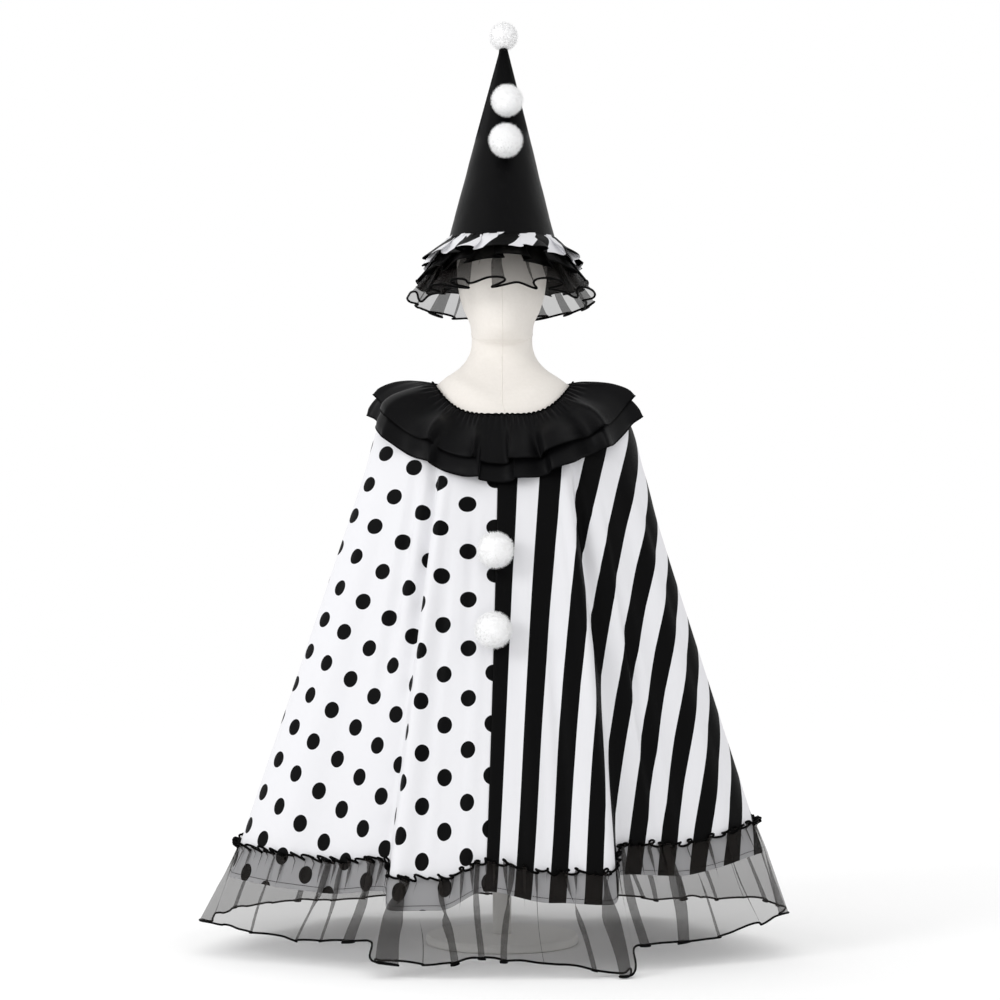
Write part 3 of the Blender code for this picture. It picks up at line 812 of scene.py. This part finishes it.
def flounce_points(spot, fall):
    """Points of the flounce: spot counts quarters from the centre front, fall is 0 at the gathers and 1
    at the lower edge, and negative values are the heading."""
    lower = np.clip(fall, 0, 1)
    along, out, sink = folded(spot, lower, FLOUNCE_FOLDS, 4.0)
    turn = 2 * math.pi * spot
    # Sines whose counts share no factor keep each gather from looking like the next
    gather = GATHERS * turn + 1.9 * np.sin(9 * turn / 4) + 1.1 * np.sin(23 * turn / 4)
    strength = 1.3 + 1.6 * np.sin(5 * turn / 4 + 1.3 * np.sin(19 * turn / 4)) ** 2
    fade = np.exp(-(lower / (0.05 + 0.13 * strength)) ** 2)
    spot = spot + along - strength * fade * np.sin(gather) / (2 * math.pi * GATHERS)
    line = line_at(spot)
    down = np.where(fall < 0, GATHER_DOWN + (GATHER_DOWN - HEADING_DOWN) * fall,
                    GATHER_DOWN + (1 - GATHER_DOWN) * np.clip(fall / EDGE_FALL, 0, 1))
    cloth_point = cape_points(line, down)
    radial = unit(cloth_point * (1, 1, 0))
    past = np.clip((fall - EDGE_FALL) / (1 - EDGE_FALL), 0, 1)[..., None]
    edge = cloth_point + radial * FLOUNCE_FLARE
    edge[..., 2] = ease(wrap(line), FOLDS["hem"], FOLDS["flounce"])
    sway = PANEL_SWAY * np.sin(29 * turn / 4)
    stand = 2 * GAP + lower * (FLOUNCE_STAND + sway) + out * (0.25 + 0.75 * lower)
    stand = np.maximum(stand, 2 * GAP * (1 + lower)) + GATHER_STAND * (1 + np.cos(gather)) * fade
    stand = stand - np.minimum(fall, 0) * HEADING_STAND * (0.9 + 0.8 * np.cos(gather))
    points = cloth_point * (1 - past) + edge * past + radial * stand[..., None]
    points[..., 2] -= sink * lower + HEADING_CURL * np.minimum(fall, 0) * (
        np.sin(gather + 1.0) * 0.6 + 0.5 * np.sin(gather / 2 + 11 * turn / 4))
    return points


falls = np.concatenate([[-1.0, -0.5, 0.0], np.linspace(0.05, EDGE_FALL, 6), np.linspace(0.44, 1.0, 9)])
for name, start in (("hem_flounce_front", -1), ("hem_flounce_back", 1)):
    spots = np.linspace(start, start + 2, 2 * FLOUNCE_COLUMNS + 1)
    grid = flounce_points(*np.meshgrid(spots, falls))
    gathered(name, "organza", grid, organza, "black_organza", closed=False, threads=(
        ("rolled_edge", -1, ROLLED_EDGE, EDGE_SIDES), ("heading_edge", 0, HEADING_EDGE, EDGE_SIDES)))

# %% Stitches of the cloth's own hem
STITCH_DOWN = 0.9915
STITCH_THREAD = 0.0004
STITCH = 0.0036 / 0.69  # from one stitch to the next, as a share of a quarter's mean hem
STITCH_SHARES = (0, 0.4, 0.8)  # where it starts, bends and ends
BESIDE = 0.001  # how far off the rows are that give the slope
stitch_spots = np.arange(0, 4, STITCH)
ends = stitch_spots[:, None] + np.array(STITCH_SHARES) * STITCH
rows = cape_grid(line_at(ends.ravel()), [STITCH_DOWN - BESIDE, STITCH_DOWN, STITCH_DOWN + BESIDE])
stitched = rows[1] + normals(rows, closed=False)[1] * STITCH_THREAD
stitches = tube("cape_hem_stitches", list(stitched.reshape(-1, 3, 3)), STITCH_THREAD, thread, closed=False,
                sides=4)
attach(stitches, "root")
print("stitches:", len(stitch_spots), "triangles", triangles(stitches))

# %% [markdown]
# ## Neck ruff
#
# The ruff is two layers of chiffon, gathered on elastic at the neckline and spread over the shoulders in
# round folds. Close to the elastic the gathers are fine and shallow, and further down they merge into
# deep waves, so the grid blends a fast ripple into a slow one on the way down.

# %% Neck ruff
RUFF_WAVES = 15
RUFF_DOWN = table("azimuth down", (0, 0.152), (52, 0.172), (92, 0.126), (180, 0.125))
RUFF_CLEAR = 0.004
RUFF_STAND = 0.014
RUFF_WAVE = 0.012
UPPER_SHARE = 0.77
UPPER_STAND = 0.008
UPPER_WAVE = 0.006
SHOULDER_RISE = 0.009
RUFF_COLUMNS = 720
RUFF_ROWS = 26
RUFF_CLOTH = 0.0005
RUFF_EDGE = 0.0008
ELASTIC = 0.0018
RIPPLE, SHIRR, CURL = 0.0022, 0.0011, 0.003  # heights of the small folds, the gathers and the curled edge


def ruff_points(turn, row, layer):
    """Points of a ruff layer: turn is the angle round, row 0 the neckline and 1 the hem."""
    upper = layer == "ruff_upper"
    share, bend = (UPPER_SHARE, 0.5) if upper else (1.0, 0.0)
    phase = RUFF_WAVES * turn + 0.7 * np.sin(3 * turn)
    fold = 1.35 * np.clip(row, 0, 1) ** 1.2
    lean = 1.3 * np.sin(2 * turn + bend) + 0.5 * np.sin(5 * turn)
    azimuths = np.degrees(turn - fold * np.sin(phase + bend + lean - math.pi / 2) / RUFF_WAVES * 0.62)
    depth = ease(np.abs(wrap(azimuths)), RUFF_DOWN["azimuth"], RUFF_DOWN["down"]) * share
    down = depth * row
    base, higher, lower, before, after = (
        cape_points(azimuths + aside, np.maximum(down + further, 0), creased=False)
        for aside, further in ((0, 0), (0, -0.004), (0, 0.004), (-0.3, 0), (0.3, 0)))
    out = unit(np.cross(lower - higher, after - before))
    reach = row * share
    stand = 2 * GAP + RUFF_CLEAR * np.sqrt(reach) + reach * (RUFF_STAND + RUFF_WAVE * np.sin(phase))
    if upper:
        stand = stand + 2 * SHEER_WALL + row * (UPPER_STAND + UPPER_WAVE * np.sin(phase + 0.5))
    small = np.sin(phase * 2 + 2.1 * np.sin(turn * 4)) * RIPPLE * row
    shirr = (1 + np.sin(phase * 6 + 2 * np.sin(3 * turn))) * SHIRR * np.exp(-((row - 0.10) / 0.16) ** 2)
    curl = -CURL * step_up(row, 0.9, 1.0) * (0.4 + np.sin(phase + 1.1))
    shoulder = SHOULDER_RISE * np.exp(-((np.abs(wrap(azimuths)) - 105) / 30) ** 2) * np.sin(math.pi * row)
    return base + out * (stand + small + shirr + curl + shoulder)[..., None]


turns = np.linspace(-math.pi, math.pi, RUFF_COLUMNS, endpoint=False)
rows = np.concatenate([[0.0, 0.03], np.linspace(0.07, 1.0, RUFF_ROWS - 2)])
for name in ("ruff_lower", "ruff_upper"):
    gathered(name, "chiffon", ruff_points(*np.meshgrid(turns, rows), name), chiffon, "black_chiffon",
             threads=[("rolled_edge", -1, RUFF_EDGE, 6)], wall=RUFF_CLOTH)

# %% Elastic neckline
elastic_path = ruff_points(turns, np.zeros_like(turns), "ruff_upper")
elastic_path[:, 2] += 0.0004 + 0.0009 * np.sin(RUFF_WAVES * 6 * turns)  # drawn up by each gather
elastic = tube("neck_elastic", [elastic_path], ELASTIC, thread, closed=True, sides=8)
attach(elastic, "root")
strips["ruff_upper"][1].append(elastic)
print("elastic length", round(float(run(elastic_path)[-1]), 3), "m")

# %% [markdown]
# ## The hat's cone
#
# The hat is card rolled to a cone and covered with black satin, with a lining inside. A cone primitive is
# the natural start. Its foot is made oval to fit a head, its tip is moved a little to one side, and rings
# are cut into it so that a shallow unevenness can show, as on cloth glued over card.

# %% Hat cone
HAT_Z = 1.220
HAT_TIP_Z = 1.579
HAT_SIDE = 0.098
HAT_DEPTH = 0.1035
HAT_TIP_RADIUS = 0.0073
HAT_LEAN = 0.003
HAT_WALL = 0.0018
HAT_DIP = 0.009  # how much lower the foot is at the front, over the brow
HAT_SLOPE = (HAT_DEPTH - HAT_TIP_RADIUS) / (HAT_TIP_Z - HAT_Z)
CONE_SIDES, CONE_CUTS = 128, 36
NEAR = 0.001  # how close to the foot or the tip a vertex has to be

bpy.ops.mesh.primitive_cone_add(vertices=CONE_SIDES, radius1=HAT_SIDE, radius2=HAT_TIP_RADIUS,
                                depth=HAT_TIP_Z - HAT_Z, end_fill_type="NOTHING",
                                location=(0, 0, (HAT_Z + HAT_TIP_Z) / 2))
cone = bpy.context.object
cone.name = cone.data.name = "hat_cone_satin"
bpy.ops.object.transform_apply(location=True)


def select_verts(piece, chosen):
    """Selects the vertices that the test picks, in edit mode."""
    bpy.ops.object.mode_set(mode="EDIT")
    bpy.ops.mesh.select_mode(type="VERT")
    bpy.ops.mesh.select_all(action="DESELECT")
    bpy.ops.object.mode_set(mode="OBJECT")
    for vert in piece.data.vertices:
        vert.select = bool(chosen(vert.co))
    bpy.ops.object.mode_set(mode="EDIT")


select_verts(cone, lambda co: co.z < HAT_Z + NEAR)
bpy.ops.transform.resize(value=(1, HAT_DEPTH / HAT_SIDE, 1), center_override=(0, 0, HAT_Z))
for vert in bmesh.from_edit_mesh(cone.data).verts:
    if vert.select:
        dip = HAT_DIP * max(0.0, -vert.co.y / HAT_DEPTH) ** 2
        vert.co.z -= dip
        vert.co.y -= dip * HAT_SLOPE
bmesh.update_edit_mesh(cone.data)
select_verts(cone, lambda co: co.z > HAT_TIP_Z - NEAR)
bpy.ops.transform.translate(value=(HAT_LEAN, 0, 0))
bpy.ops.mesh.edge_face_add()
bpy.ops.mesh.select_mode(type="EDGE")
bpy.ops.object.mode_set(mode="OBJECT")
for edge in cone.data.edges:
    ends = [cone.data.vertices[v].co.z for v in edge.vertices]
    edge.select = abs(ends[0] - ends[1]) > 0.1
bpy.ops.object.mode_set(mode="EDIT")
bpy.ops.mesh.subdivide(number_cuts=CONE_CUTS)
bpy.ops.object.mode_set(mode="OBJECT")
print("cone vertices", len(cone.data.vertices))

# %% Soften and line the cone
SHARP = math.radians(40)  # an edge with a greater angle stays sharp
DENT_SIZE, DENT_DEPTH, DENT_MIDDLE = 0.07, 0.0024, 0.85

rumple = bpy.data.textures.new("glued_satin", "CLOUDS")
rumple.noise_scale = DENT_SIZE
dents = cone.modifiers.new("dents", "DISPLACE")
dents.texture, dents.texture_coords = rumple, "LOCAL"
dents.strength, dents.mid_level = DENT_DEPTH, DENT_MIDDLE
shell = cone.modifiers.new("wall", "SOLIDIFY")
shell.thickness, shell.offset = HAT_WALL, -1
for modifier in ("dents", "wall"):
    bpy.ops.object.modifier_apply(modifier=modifier)
bpy.ops.object.shade_smooth_by_angle(angle=SHARP)
# Black satin: a dense bright weave, so a broad grey sheen runs down the side that faces the light
hat_satin = fabric("black_hat_satin", "#030304", 0.42, (0.0011, 0.00012), rumple=0.0014,
                   Specular_IOR_Level=0.08)
cone.data.materials.clear()
cone.data.materials.append(hat_satin)
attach(cone, "root")
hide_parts("hat_cone")
print("cone triangles", triangles(cone))

# %% [markdown]
# ## The hat's frills
#
# Three gathered frills hang from the hat's edge: a long sheer one with a thick rolled edge, a denser black
# one over it, and a short one in the cape's print on top. All three are grids of the same kind, with the
# tipping folds of the hem flounce. The folds at the front follow the photograph. A fold that swings
# outwards also lifts the edge, which gives the sheer frill its loops.

# %% Hat frill folds
# place as a share of the way round from the front, width, overlap, reach outwards, slant and drop
BRIM_FOLDS = (
    (-0.25, 0.011, 2.6, 0.011, 0, 0.002),
    (-0.182, 0.013, 3.2, -0.013, 0.004, 0.007),
    (-0.128, 0.009, 2.4, 0.01, -0.004, 0.005),
    (-0.074, 0.011, 3.3, 0.012, 0.004, 0.007),
    (-0.046, 0.006, 2.2, -0.008, 0, 0.006),
    (-0.009, 0.01, 3.3, -0.013, 0, 0.008),
    (0.054, 0.009, 2.4, 0.011, -0.003, 0.009),
    (0.098, 0.01, 2.8, -0.01, 0.003, 0.005),
    (0.15, 0.012, 3.2, 0.013, 0, 0.007),
    (0.201, 0.01, 2.6, -0.01, 0, 0.006),
    (0.262, 0.011, 2.8, 0.01, 0, 0.004),
)
PRINT_FOLDS = (
    (-0.19, 0.012, 2.4, 0.008, 0, 0.002),
    (-0.13, 0.009, 1.9, -0.006, 0, -0.002),
    (-0.088, 0.008, 2, 0.006, 0.004, 0.003),
    (-0.052, 0.008, 1.7, -0.005, -0.006, 0.004),
    (0.04, 0.006, 1.5, 0.004, 0, -0.001),
    (0.086, 0.008, 2, -0.006, 0.004, 0.003),
    (0.135, 0.011, 2.3, 0.008, 0, -0.002),
    (0.185, 0.01, 2, -0.006, 0, 0.003),
    (0.235, 0.012, 2.2, 0.007, 0, 0.001),
)


def random_folds(seed, start, end, count, reach):
    """Folds for a side that the photograph doesn't show, evenly spread and unevenly made."""
    rng = np.random.default_rng(seed)
    return [(place + rng.uniform(-0.01, 0.01), rng.uniform(0.007, 0.012), rng.uniform(2.0, 3.2),
             rng.choice((-1, 1)) * reach * rng.uniform(0.6, 1.1), rng.uniform(-0.005, 0.005),
             rng.uniform(0.001, 0.006)) for place in np.linspace(start, end, count)]


FOLD_COLUMNS = "place width overlap reach slant drop"
FRILL_FOLDS = {
    "hat_brim_frill": table(FOLD_COLUMNS, *BRIM_FOLDS, *random_folds(3, 0.315, 0.695, 8, 0.012)),
    "hat_short_frill": table(FOLD_COLUMNS, *random_folds(5, -0.48, 0.46, 19, 0.007)),
    "hat_print_frill": table(FOLD_COLUMNS, *PRINT_FOLDS, *random_folds(8, 0.285, 0.755, 9, 0.007)),
}
print({name: len(folds["place"]) for name, folds in FRILL_FOLDS.items()})

# %% Hat frills
FRILL_TOP_Z = HAT_Z + 0.003
FRILL_COLUMNS = 900
FRILL_GATHERS = 46
FRILL_LIFT = 0.5  # how far a fold that stands out lifts the edge
FRILL_GATHER = 0.0007
HEADING_LOOP, HEADING_WAVE = 0.004, 0.012
PRINT_WALL = 0.0006
PRINT_ANGLE = -38.0
# fall in front, at the sides and behind, how far the hem stands out, and how it bends on the way
FRILLS = {
    "hat_brim_frill": {"front": 0.092, "side": 0.105, "back": 0.105, "flare": 0.060, "bend": 1.25},
    "hat_short_frill": {"front": 0.048, "side": 0.076, "back": 0.058, "flare": 0.049, "bend": 1.10},
    "hat_print_frill": {"front": 0.029, "side": 0.040, "back": 0.040, "flare": 0.040, "bend": 0.90},
}


def frill_points(turn, share, name, layer):
    """Points of a hat frill: turn is the share of the way round, share is 0 at the seam and 1 at the
    hem, and negative values are the heading."""
    cut = FRILLS[name]
    lower = np.clip(share, 0, 1)
    along, out, sink = folded(turn, lower, FRILL_FOLDS[name], 1.0)
    gather = 2 * math.pi * (FRILL_GATHERS * turn + 0.5 * np.sin(2 * math.pi * 3 * turn + layer))
    fade = np.exp(-(lower / 0.28) ** 2)
    moved = turn + along - 1.5 * fade * np.sin(gather) / (2 * math.pi * FRILL_GATHERS)
    angle = 2 * math.pi * moved
    front = np.clip(np.cos(angle), 0, 1) ** 2
    behind = np.clip(-np.cos(angle), 0, 1) ** 2
    drop = cut["side"] + (cut["front"] - cut["side"]) * front + (cut["back"] - cut["side"]) * behind
    narrowing = (HAT_SIDE - HAT_TIP_RADIUS) * (FRILL_TOP_Z - HAT_Z) / (HAT_TIP_Z - HAT_Z)
    # The heading leans back onto the cone above the layers that it covers
    start = GAP - narrowing + layer * (SHEER_WALL + GAP * 2) * (1 + np.clip(share, -0.1, 0) * 10)
    reach = start + HAT_DIP * HAT_SLOPE * front + cut["flare"] * lower ** cut["bend"] + out * lower
    reach = reach + FRILL_GATHER * (1 + np.cos(gather)) * fade
    reach = reach - np.minimum(share, 0) * HEADING_LOOP * (1 + np.cos(gather / 2))
    z = FRILL_TOP_Z - HAT_DIP * front - drop * share - sink * lower + FRILL_LIFT * out * lower**2
    z = z - HEADING_WAVE * np.minimum(share, 0) * np.sin(gather / 3)
    return ring_points(angle, HAT_SIDE, HAT_SIDE, HAT_DEPTH, HAT_DEPTH, z, z, z, out=reach)


turns = np.linspace(-0.5, 0.5, FRILL_COLUMNS, endpoint=False)
print_satin = striped_satin("print_satin", first=STRIPE, angle=PRINT_ANGLE)
# cloth, material slot, wall and the radius of the rolled edge
FINISHES = {
    "hat_brim_frill": (frill_organza, "black_organza", None, 0.0020),
    "hat_short_frill": (dense_organza, "black_organza", None, 0.0012),
    "hat_print_frill": (print_satin, "print_satin", PRINT_WALL, 0),
}
for layer, (name, (finish, slot_name, wall, rolled)) in enumerate(FINISHES.items()):
    shares = np.linspace(0, 1, 17)
    if name == "hat_print_frill":
        shares = np.concatenate([[-0.10, -0.05], shares])
    grid = frill_points(*np.meshgrid(turns, shares), name, layer)
    along = run(grid[len(grid) // 2])
    width = along - along[FRILL_COLUMNS // 2]
    uv = np.stack(np.meshgrid(width, shares * FRILLS[name]["side"]), axis=-1)
    gathered(name, "cloth", grid, finish, slot_name, uv=uv, wall=wall,
             threads=[("rolled_edge", -1, rolled, 6)] if rolled else [])
    print(name, "flat width", round(float(np.ptp(width)), 2))

# %% [markdown]
# ## Pompoms
#
# The pompoms are balls of white plush fur, 50 to 60 mm across. A soft ball alone reads as a cotton bud, so
# short tapered strands grow from it in all directions. Each strand is a plain three-sided spike with one
# bend, because there are thousands. Their length and lean vary, which gives the soft uneven outline.

# %% Pompom builder
STRANDS = 4400
# Shares of the ball's radius: where strands start, how far the ball goes, their length and thickness
STRAND_ROOT, BALL, STRAND_LENGTHS, STRAND_THICK = 0.91, 0.95, (0.05, 0.24), 0.008
STRAND_LEAN, STRAND_SAG = 0.30, 0.10
TUFT_DEPTH, TUFT_COUNT = 0.05, 260
fur = fabric("white_plush_fur", "#FFFFFF", 0.9, Sheen_Weight=0.4, Sheen_Roughness=0.8,
             mottle=(240.0, 3.0, linear("#FAFAFB"), linear("#FFFFFF")))


def pompom(name, node, seed):
    """A fur ball that fills its solid's round, with strands all over it."""
    low, high = (np.array(corner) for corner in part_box(node))
    centre, radius = (low + high) / 2, float((high - low).max() / 2)
    random = np.random.default_rng(seed)
    at = np.arange(STRANDS) + 0.5
    height = 1 - 2 * at / STRANDS
    angle = at * math.pi * (3 - math.sqrt(5))
    flat = np.sqrt(1 - height**2)
    aim = np.stack([flat * np.cos(angle), flat * np.sin(angle), height], axis=-1)
    lean = unit(aim + random.normal(0, STRAND_LEAN, aim.shape) + (0, 0, -STRAND_SAG))
    root = centre + aim * radius * STRAND_ROOT
    length = radius * random.uniform(*STRAND_LENGTHS, STRANDS)[:, None]
    middle = root + (aim * 0.6 + lean * 0.4) * (length * 0.5)
    tip = middle + lean * (length * 0.55)
    side = unit(np.cross(aim, random.normal(0, 1, aim.shape)))
    third = np.cross(aim, side)
    points, thick = [], radius * STRAND_THICK
    for ring, width in ((root, thick * 1.3), (middle, thick)):
        for a in np.arange(3) * 2 * math.pi / 3:
            points.append(ring + (side * math.cos(a) + third * math.sin(a)) * width)
    points = np.stack([*points, tip], axis=1)
    base = np.arange(STRANDS)[:, None] * points.shape[1]
    # Three sides below the bend, three above it, and the root's end
    pattern = ((0, 1, 4, 3), (1, 2, 5, 4), (2, 0, 3, 5), (3, 4, 6), (4, 5, 6), (5, 3, 6), (2, 1, 0))
    faces = [face for corners in pattern for face in (base + np.array(corners)).tolist()]
    strands = link(name, points.reshape(-1, 3), faces, fur)
    bpy.ops.mesh.primitive_ico_sphere_add(subdivisions=5, radius=radius * BALL, location=centre)
    ball = bpy.context.object
    for vert in ball.data.vertices:
        tuft = noise.fractal(vert.co * TUFT_COUNT + Vector((seed, 0, 0)), 1.0, 2.0, 2)
        vert.co *= 1 + TUFT_DEPTH * (tuft - 0.3)
    ball.data.shade_smooth()
    ball.data.materials.append(fur)
    strands.select_set(True)
    bpy.context.view_layer.objects.active = strands
    bpy.ops.object.join()
    bpy.ops.object.transform_apply(location=True, rotation=True, scale=True)
    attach(strands, "root")
    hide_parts(node)
    return strands


for seed, node in enumerate(("cape_pompom_upper", "cape_pompom_lower", "hat_pompom_tip",
                             "hat_pompom_upper", "hat_pompom_lower")):
    made = pompom(node + "_fur", node, 20 + seed)
    print(made.name, "triangles", triangles(made))

# %% [markdown]
# ## Dress form
#
# The form is foam covered with off-white linen: a plain egg of a head with no face, a neck and sloping
# shoulders in one. One smooth surface is drawn through the solid's rings, and the covering's seams are
# narrow welts that stand on it, one down the middle and one under the jaw.

# %% Dress form
FORM_RINGS = table(
    "side front back z_front z_side z_back",
    (0.15, 0.108, 0.118, 0.39, 0.39, 0.39),
    (0.165, 0.116, 0.126, 0.41, 0.41, 0.41),
    (0.16, 0.112, 0.118, 0.48, 0.48, 0.48),
    (0.128, 0.096, 0.092, 0.6, 0.6, 0.6),
    (0.152, 0.118, 0.108, 0.72, 0.73, 0.735),
    (0.182, 0.126, 0.118, 0.772, 0.845, 0.85),
)
NECK_RINGS = table(
    "side front back z_front z_side z_back",
    (0.1, 0.088, 0.07, 0.926, 0.98, 0.999),
    (0.077, 0.066, 0.062, 0.956, 0.996, 1.008),
    (0.063, 0.052, 0.056, 0.984, 1.012, 1.02),
    (0.056, 0.045, 0.053, 1.01, 1.028, 1.032),
    (0.054, 0.051, 0.053, 1.027, 1.038, 1.044),
    (0.0535, 0.069, 0.056, 1.039, 1.05, 1.058),
    (0.056, 0.084, 0.068, 1.057, 1.074, 1.078),
    (0.069, 0.093, 0.086, 1.1, 1.106, 1.106),
    (0.077, 0.096, 0.095, 1.138, 1.138, 1.138),
    (0.08, 0.098, 0.099, 1.175, 1.175, 1.175),
    (0.079, 0.0985, 0.099, 1.205, 1.205, 1.205),
    (0.074, 0.0982, 0.0982, 1.232, 1.232, 1.232),
    (0.06, 0.078, 0.078, 1.256, 1.256, 1.256),
    (0.036, 0.046, 0.046, 1.274, 1.274, 1.274),
)
FORM_SEAT = 0.0008  # between the shoulders and the cape
CROWN_Z = 1.281
FORM_COLUMNS = 128
FORM_ROWS = 190

linen = fabric("off_white_linen", "#EDE9E3", 0.9, (0.0012, 0.0002), Sheen_Weight=0.15,
               mottle=(180.0, 4.0, linear("#E6E1DA"), linear("#EEE9E3")))
form_lines = np.linspace(-180, 180, FORM_COLUMNS, endpoint=False)
azimuth = np.radians(form_lines)
yoke = cape_grid(form_lines, [0.0, 0.05, 0.10], creased=False)
yoke = yoke - normals(yoke) * (CLOTH_WALL + FORM_SEAT)
torso, neck = ([ring_points(azimuth, row[0], *row) for row in zip(*rings.values())]
               for rings in (FORM_RINGS, NECK_RINGS))
crown = np.array([0.0, 0.0, CROWN_Z])
rings = np.stack([*torso, *yoke[::-1], *neck, crown + (neck[-1] - crown) * (1, 1, 0) * 0.02])
fall = run(rings).mean(axis=1)
fine = np.interp(np.linspace(0, len(rings) - 1, FORM_ROWS), np.arange(len(rings)), fall)
body_grid = smooth(fine, fall, rings)[::-1]
form = cloth("form_linen_body", body_grid, linen, closed=True)
build = bmesh.new()
build.from_mesh(form.data)
bmesh.ops.holes_fill(build, edges=[e for e in build.edges if e.is_boundary], sides=0)
bmesh.ops.recalc_face_normals(build, faces=build.faces[:])
build.to_mesh(form.data)
build.free()
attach(form, "root")
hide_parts("form_body")
print("form triangles", triangles(form))

# %% Seams of the form
JAW_Z, JAW_RISE = 1.0335, 0.030
WELT = 0.0007
front_seam = body_grid[:, FORM_COLUMNS // 2]
front_seam = front_seam[(front_seam[:, 2] > 0.86) & (front_seam[:, 2] < CROWN_Z - 0.002)]
jaw = []
for at in np.radians(np.linspace(-100, 100, 61)):
    line = body_grid[::-1, int(round((math.degrees(at) + 180) / 360 * FORM_COLUMNS)) % FORM_COLUMNS]
    height = JAW_Z + JAW_RISE * (1 - math.cos(at * 0.9))
    jaw.append([np.interp(height, line[:, 2], line[:, axis]) for axis in range(3)])
seam_welt = tube("form_seam_welts", [front_seam, np.array(jaw)], WELT, linen, closed=False)
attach(seam_welt, "root")
print("seam welts:", triangles(seam_welt), "triangles")

# %% [markdown]
# ## Stand
#
# A painted steel pole and a round base carry the form. They are hidden under the cape, so they are plain
# shapes: cylinders, the base with its sharp edges bevelled.

# %% Stand
BASE_BEVEL = 0.004
paint, paint_shader = new_material("white_powder_coat", "#F7F6F3", 0.42)
place = add(paint, "ShaderNodeTexCoord")
grain = add(paint, "ShaderNodeTexNoise", {"Vector": place.outputs["Object"], "Scale": 900.0, "Detail": 2.0})
bump = add(paint, "ShaderNodeBump", {"Height": grain.outputs["Fac"], "Strength": 0.2, "Distance": 0.0002})
paint.node_tree.links.new(bump.outputs["Normal"], paint_shader.inputs["Normal"])
for node, sides in (("stand_base", 96), ("stand_pole", 48)):
    low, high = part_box(node)
    bpy.ops.mesh.primitive_cylinder_add(vertices=sides, radius=(high.x - low.x) / 2, depth=high.z - low.z,
                                        location=(0, 0, (high.z + low.z) / 2))
    piece = bpy.context.object
    piece.name = piece.data.name = node + "_painted"
    bpy.ops.object.transform_apply(location=True)
    if node == "stand_base":
        bevel = piece.modifiers.new("edge", "BEVEL")
        bevel.width, bevel.segments, bevel.limit_method = BASE_BEVEL, 4, "ANGLE"
        bpy.ops.object.modifier_apply(modifier="edge")
    bpy.ops.object.shade_smooth_by_angle(angle=SHARP)
    piece.data.materials.append(paint)
    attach(piece, "root")
    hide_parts(node)
    print(piece.name, "triangles", triangles(piece))

# %% Areas of every sheet
def mesh_area(piece):
    """All the faces of a piece, in square metres."""
    return sum(face.area for face in piece.data.polygons)


for name, (piece, area, size) in cape.items():
    print(name, "mesh area", round(mesh_area(piece) / 2, 3), "cut", round(area, 3))
for name, (piece, trims, grid) in strips.items():
    length = float(run(grid)[-1].mean())
    sides = 2 if len(piece.data.vertices) > grid[..., 0].size else 1  # a walled cloth shows both faces
    width = mesh_area(piece) / sides / length
    print(name, "flat", round(width, 2), round(length, 3), "mesh area", round(mesh_area(piece), 3))

# %% Size and triangles
low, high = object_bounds()
total = sum(triangles(piece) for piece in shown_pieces() if piece.type == "MESH")
print("visual box", [round(v, 3) for v in (*low, *high)], "triangles", total)
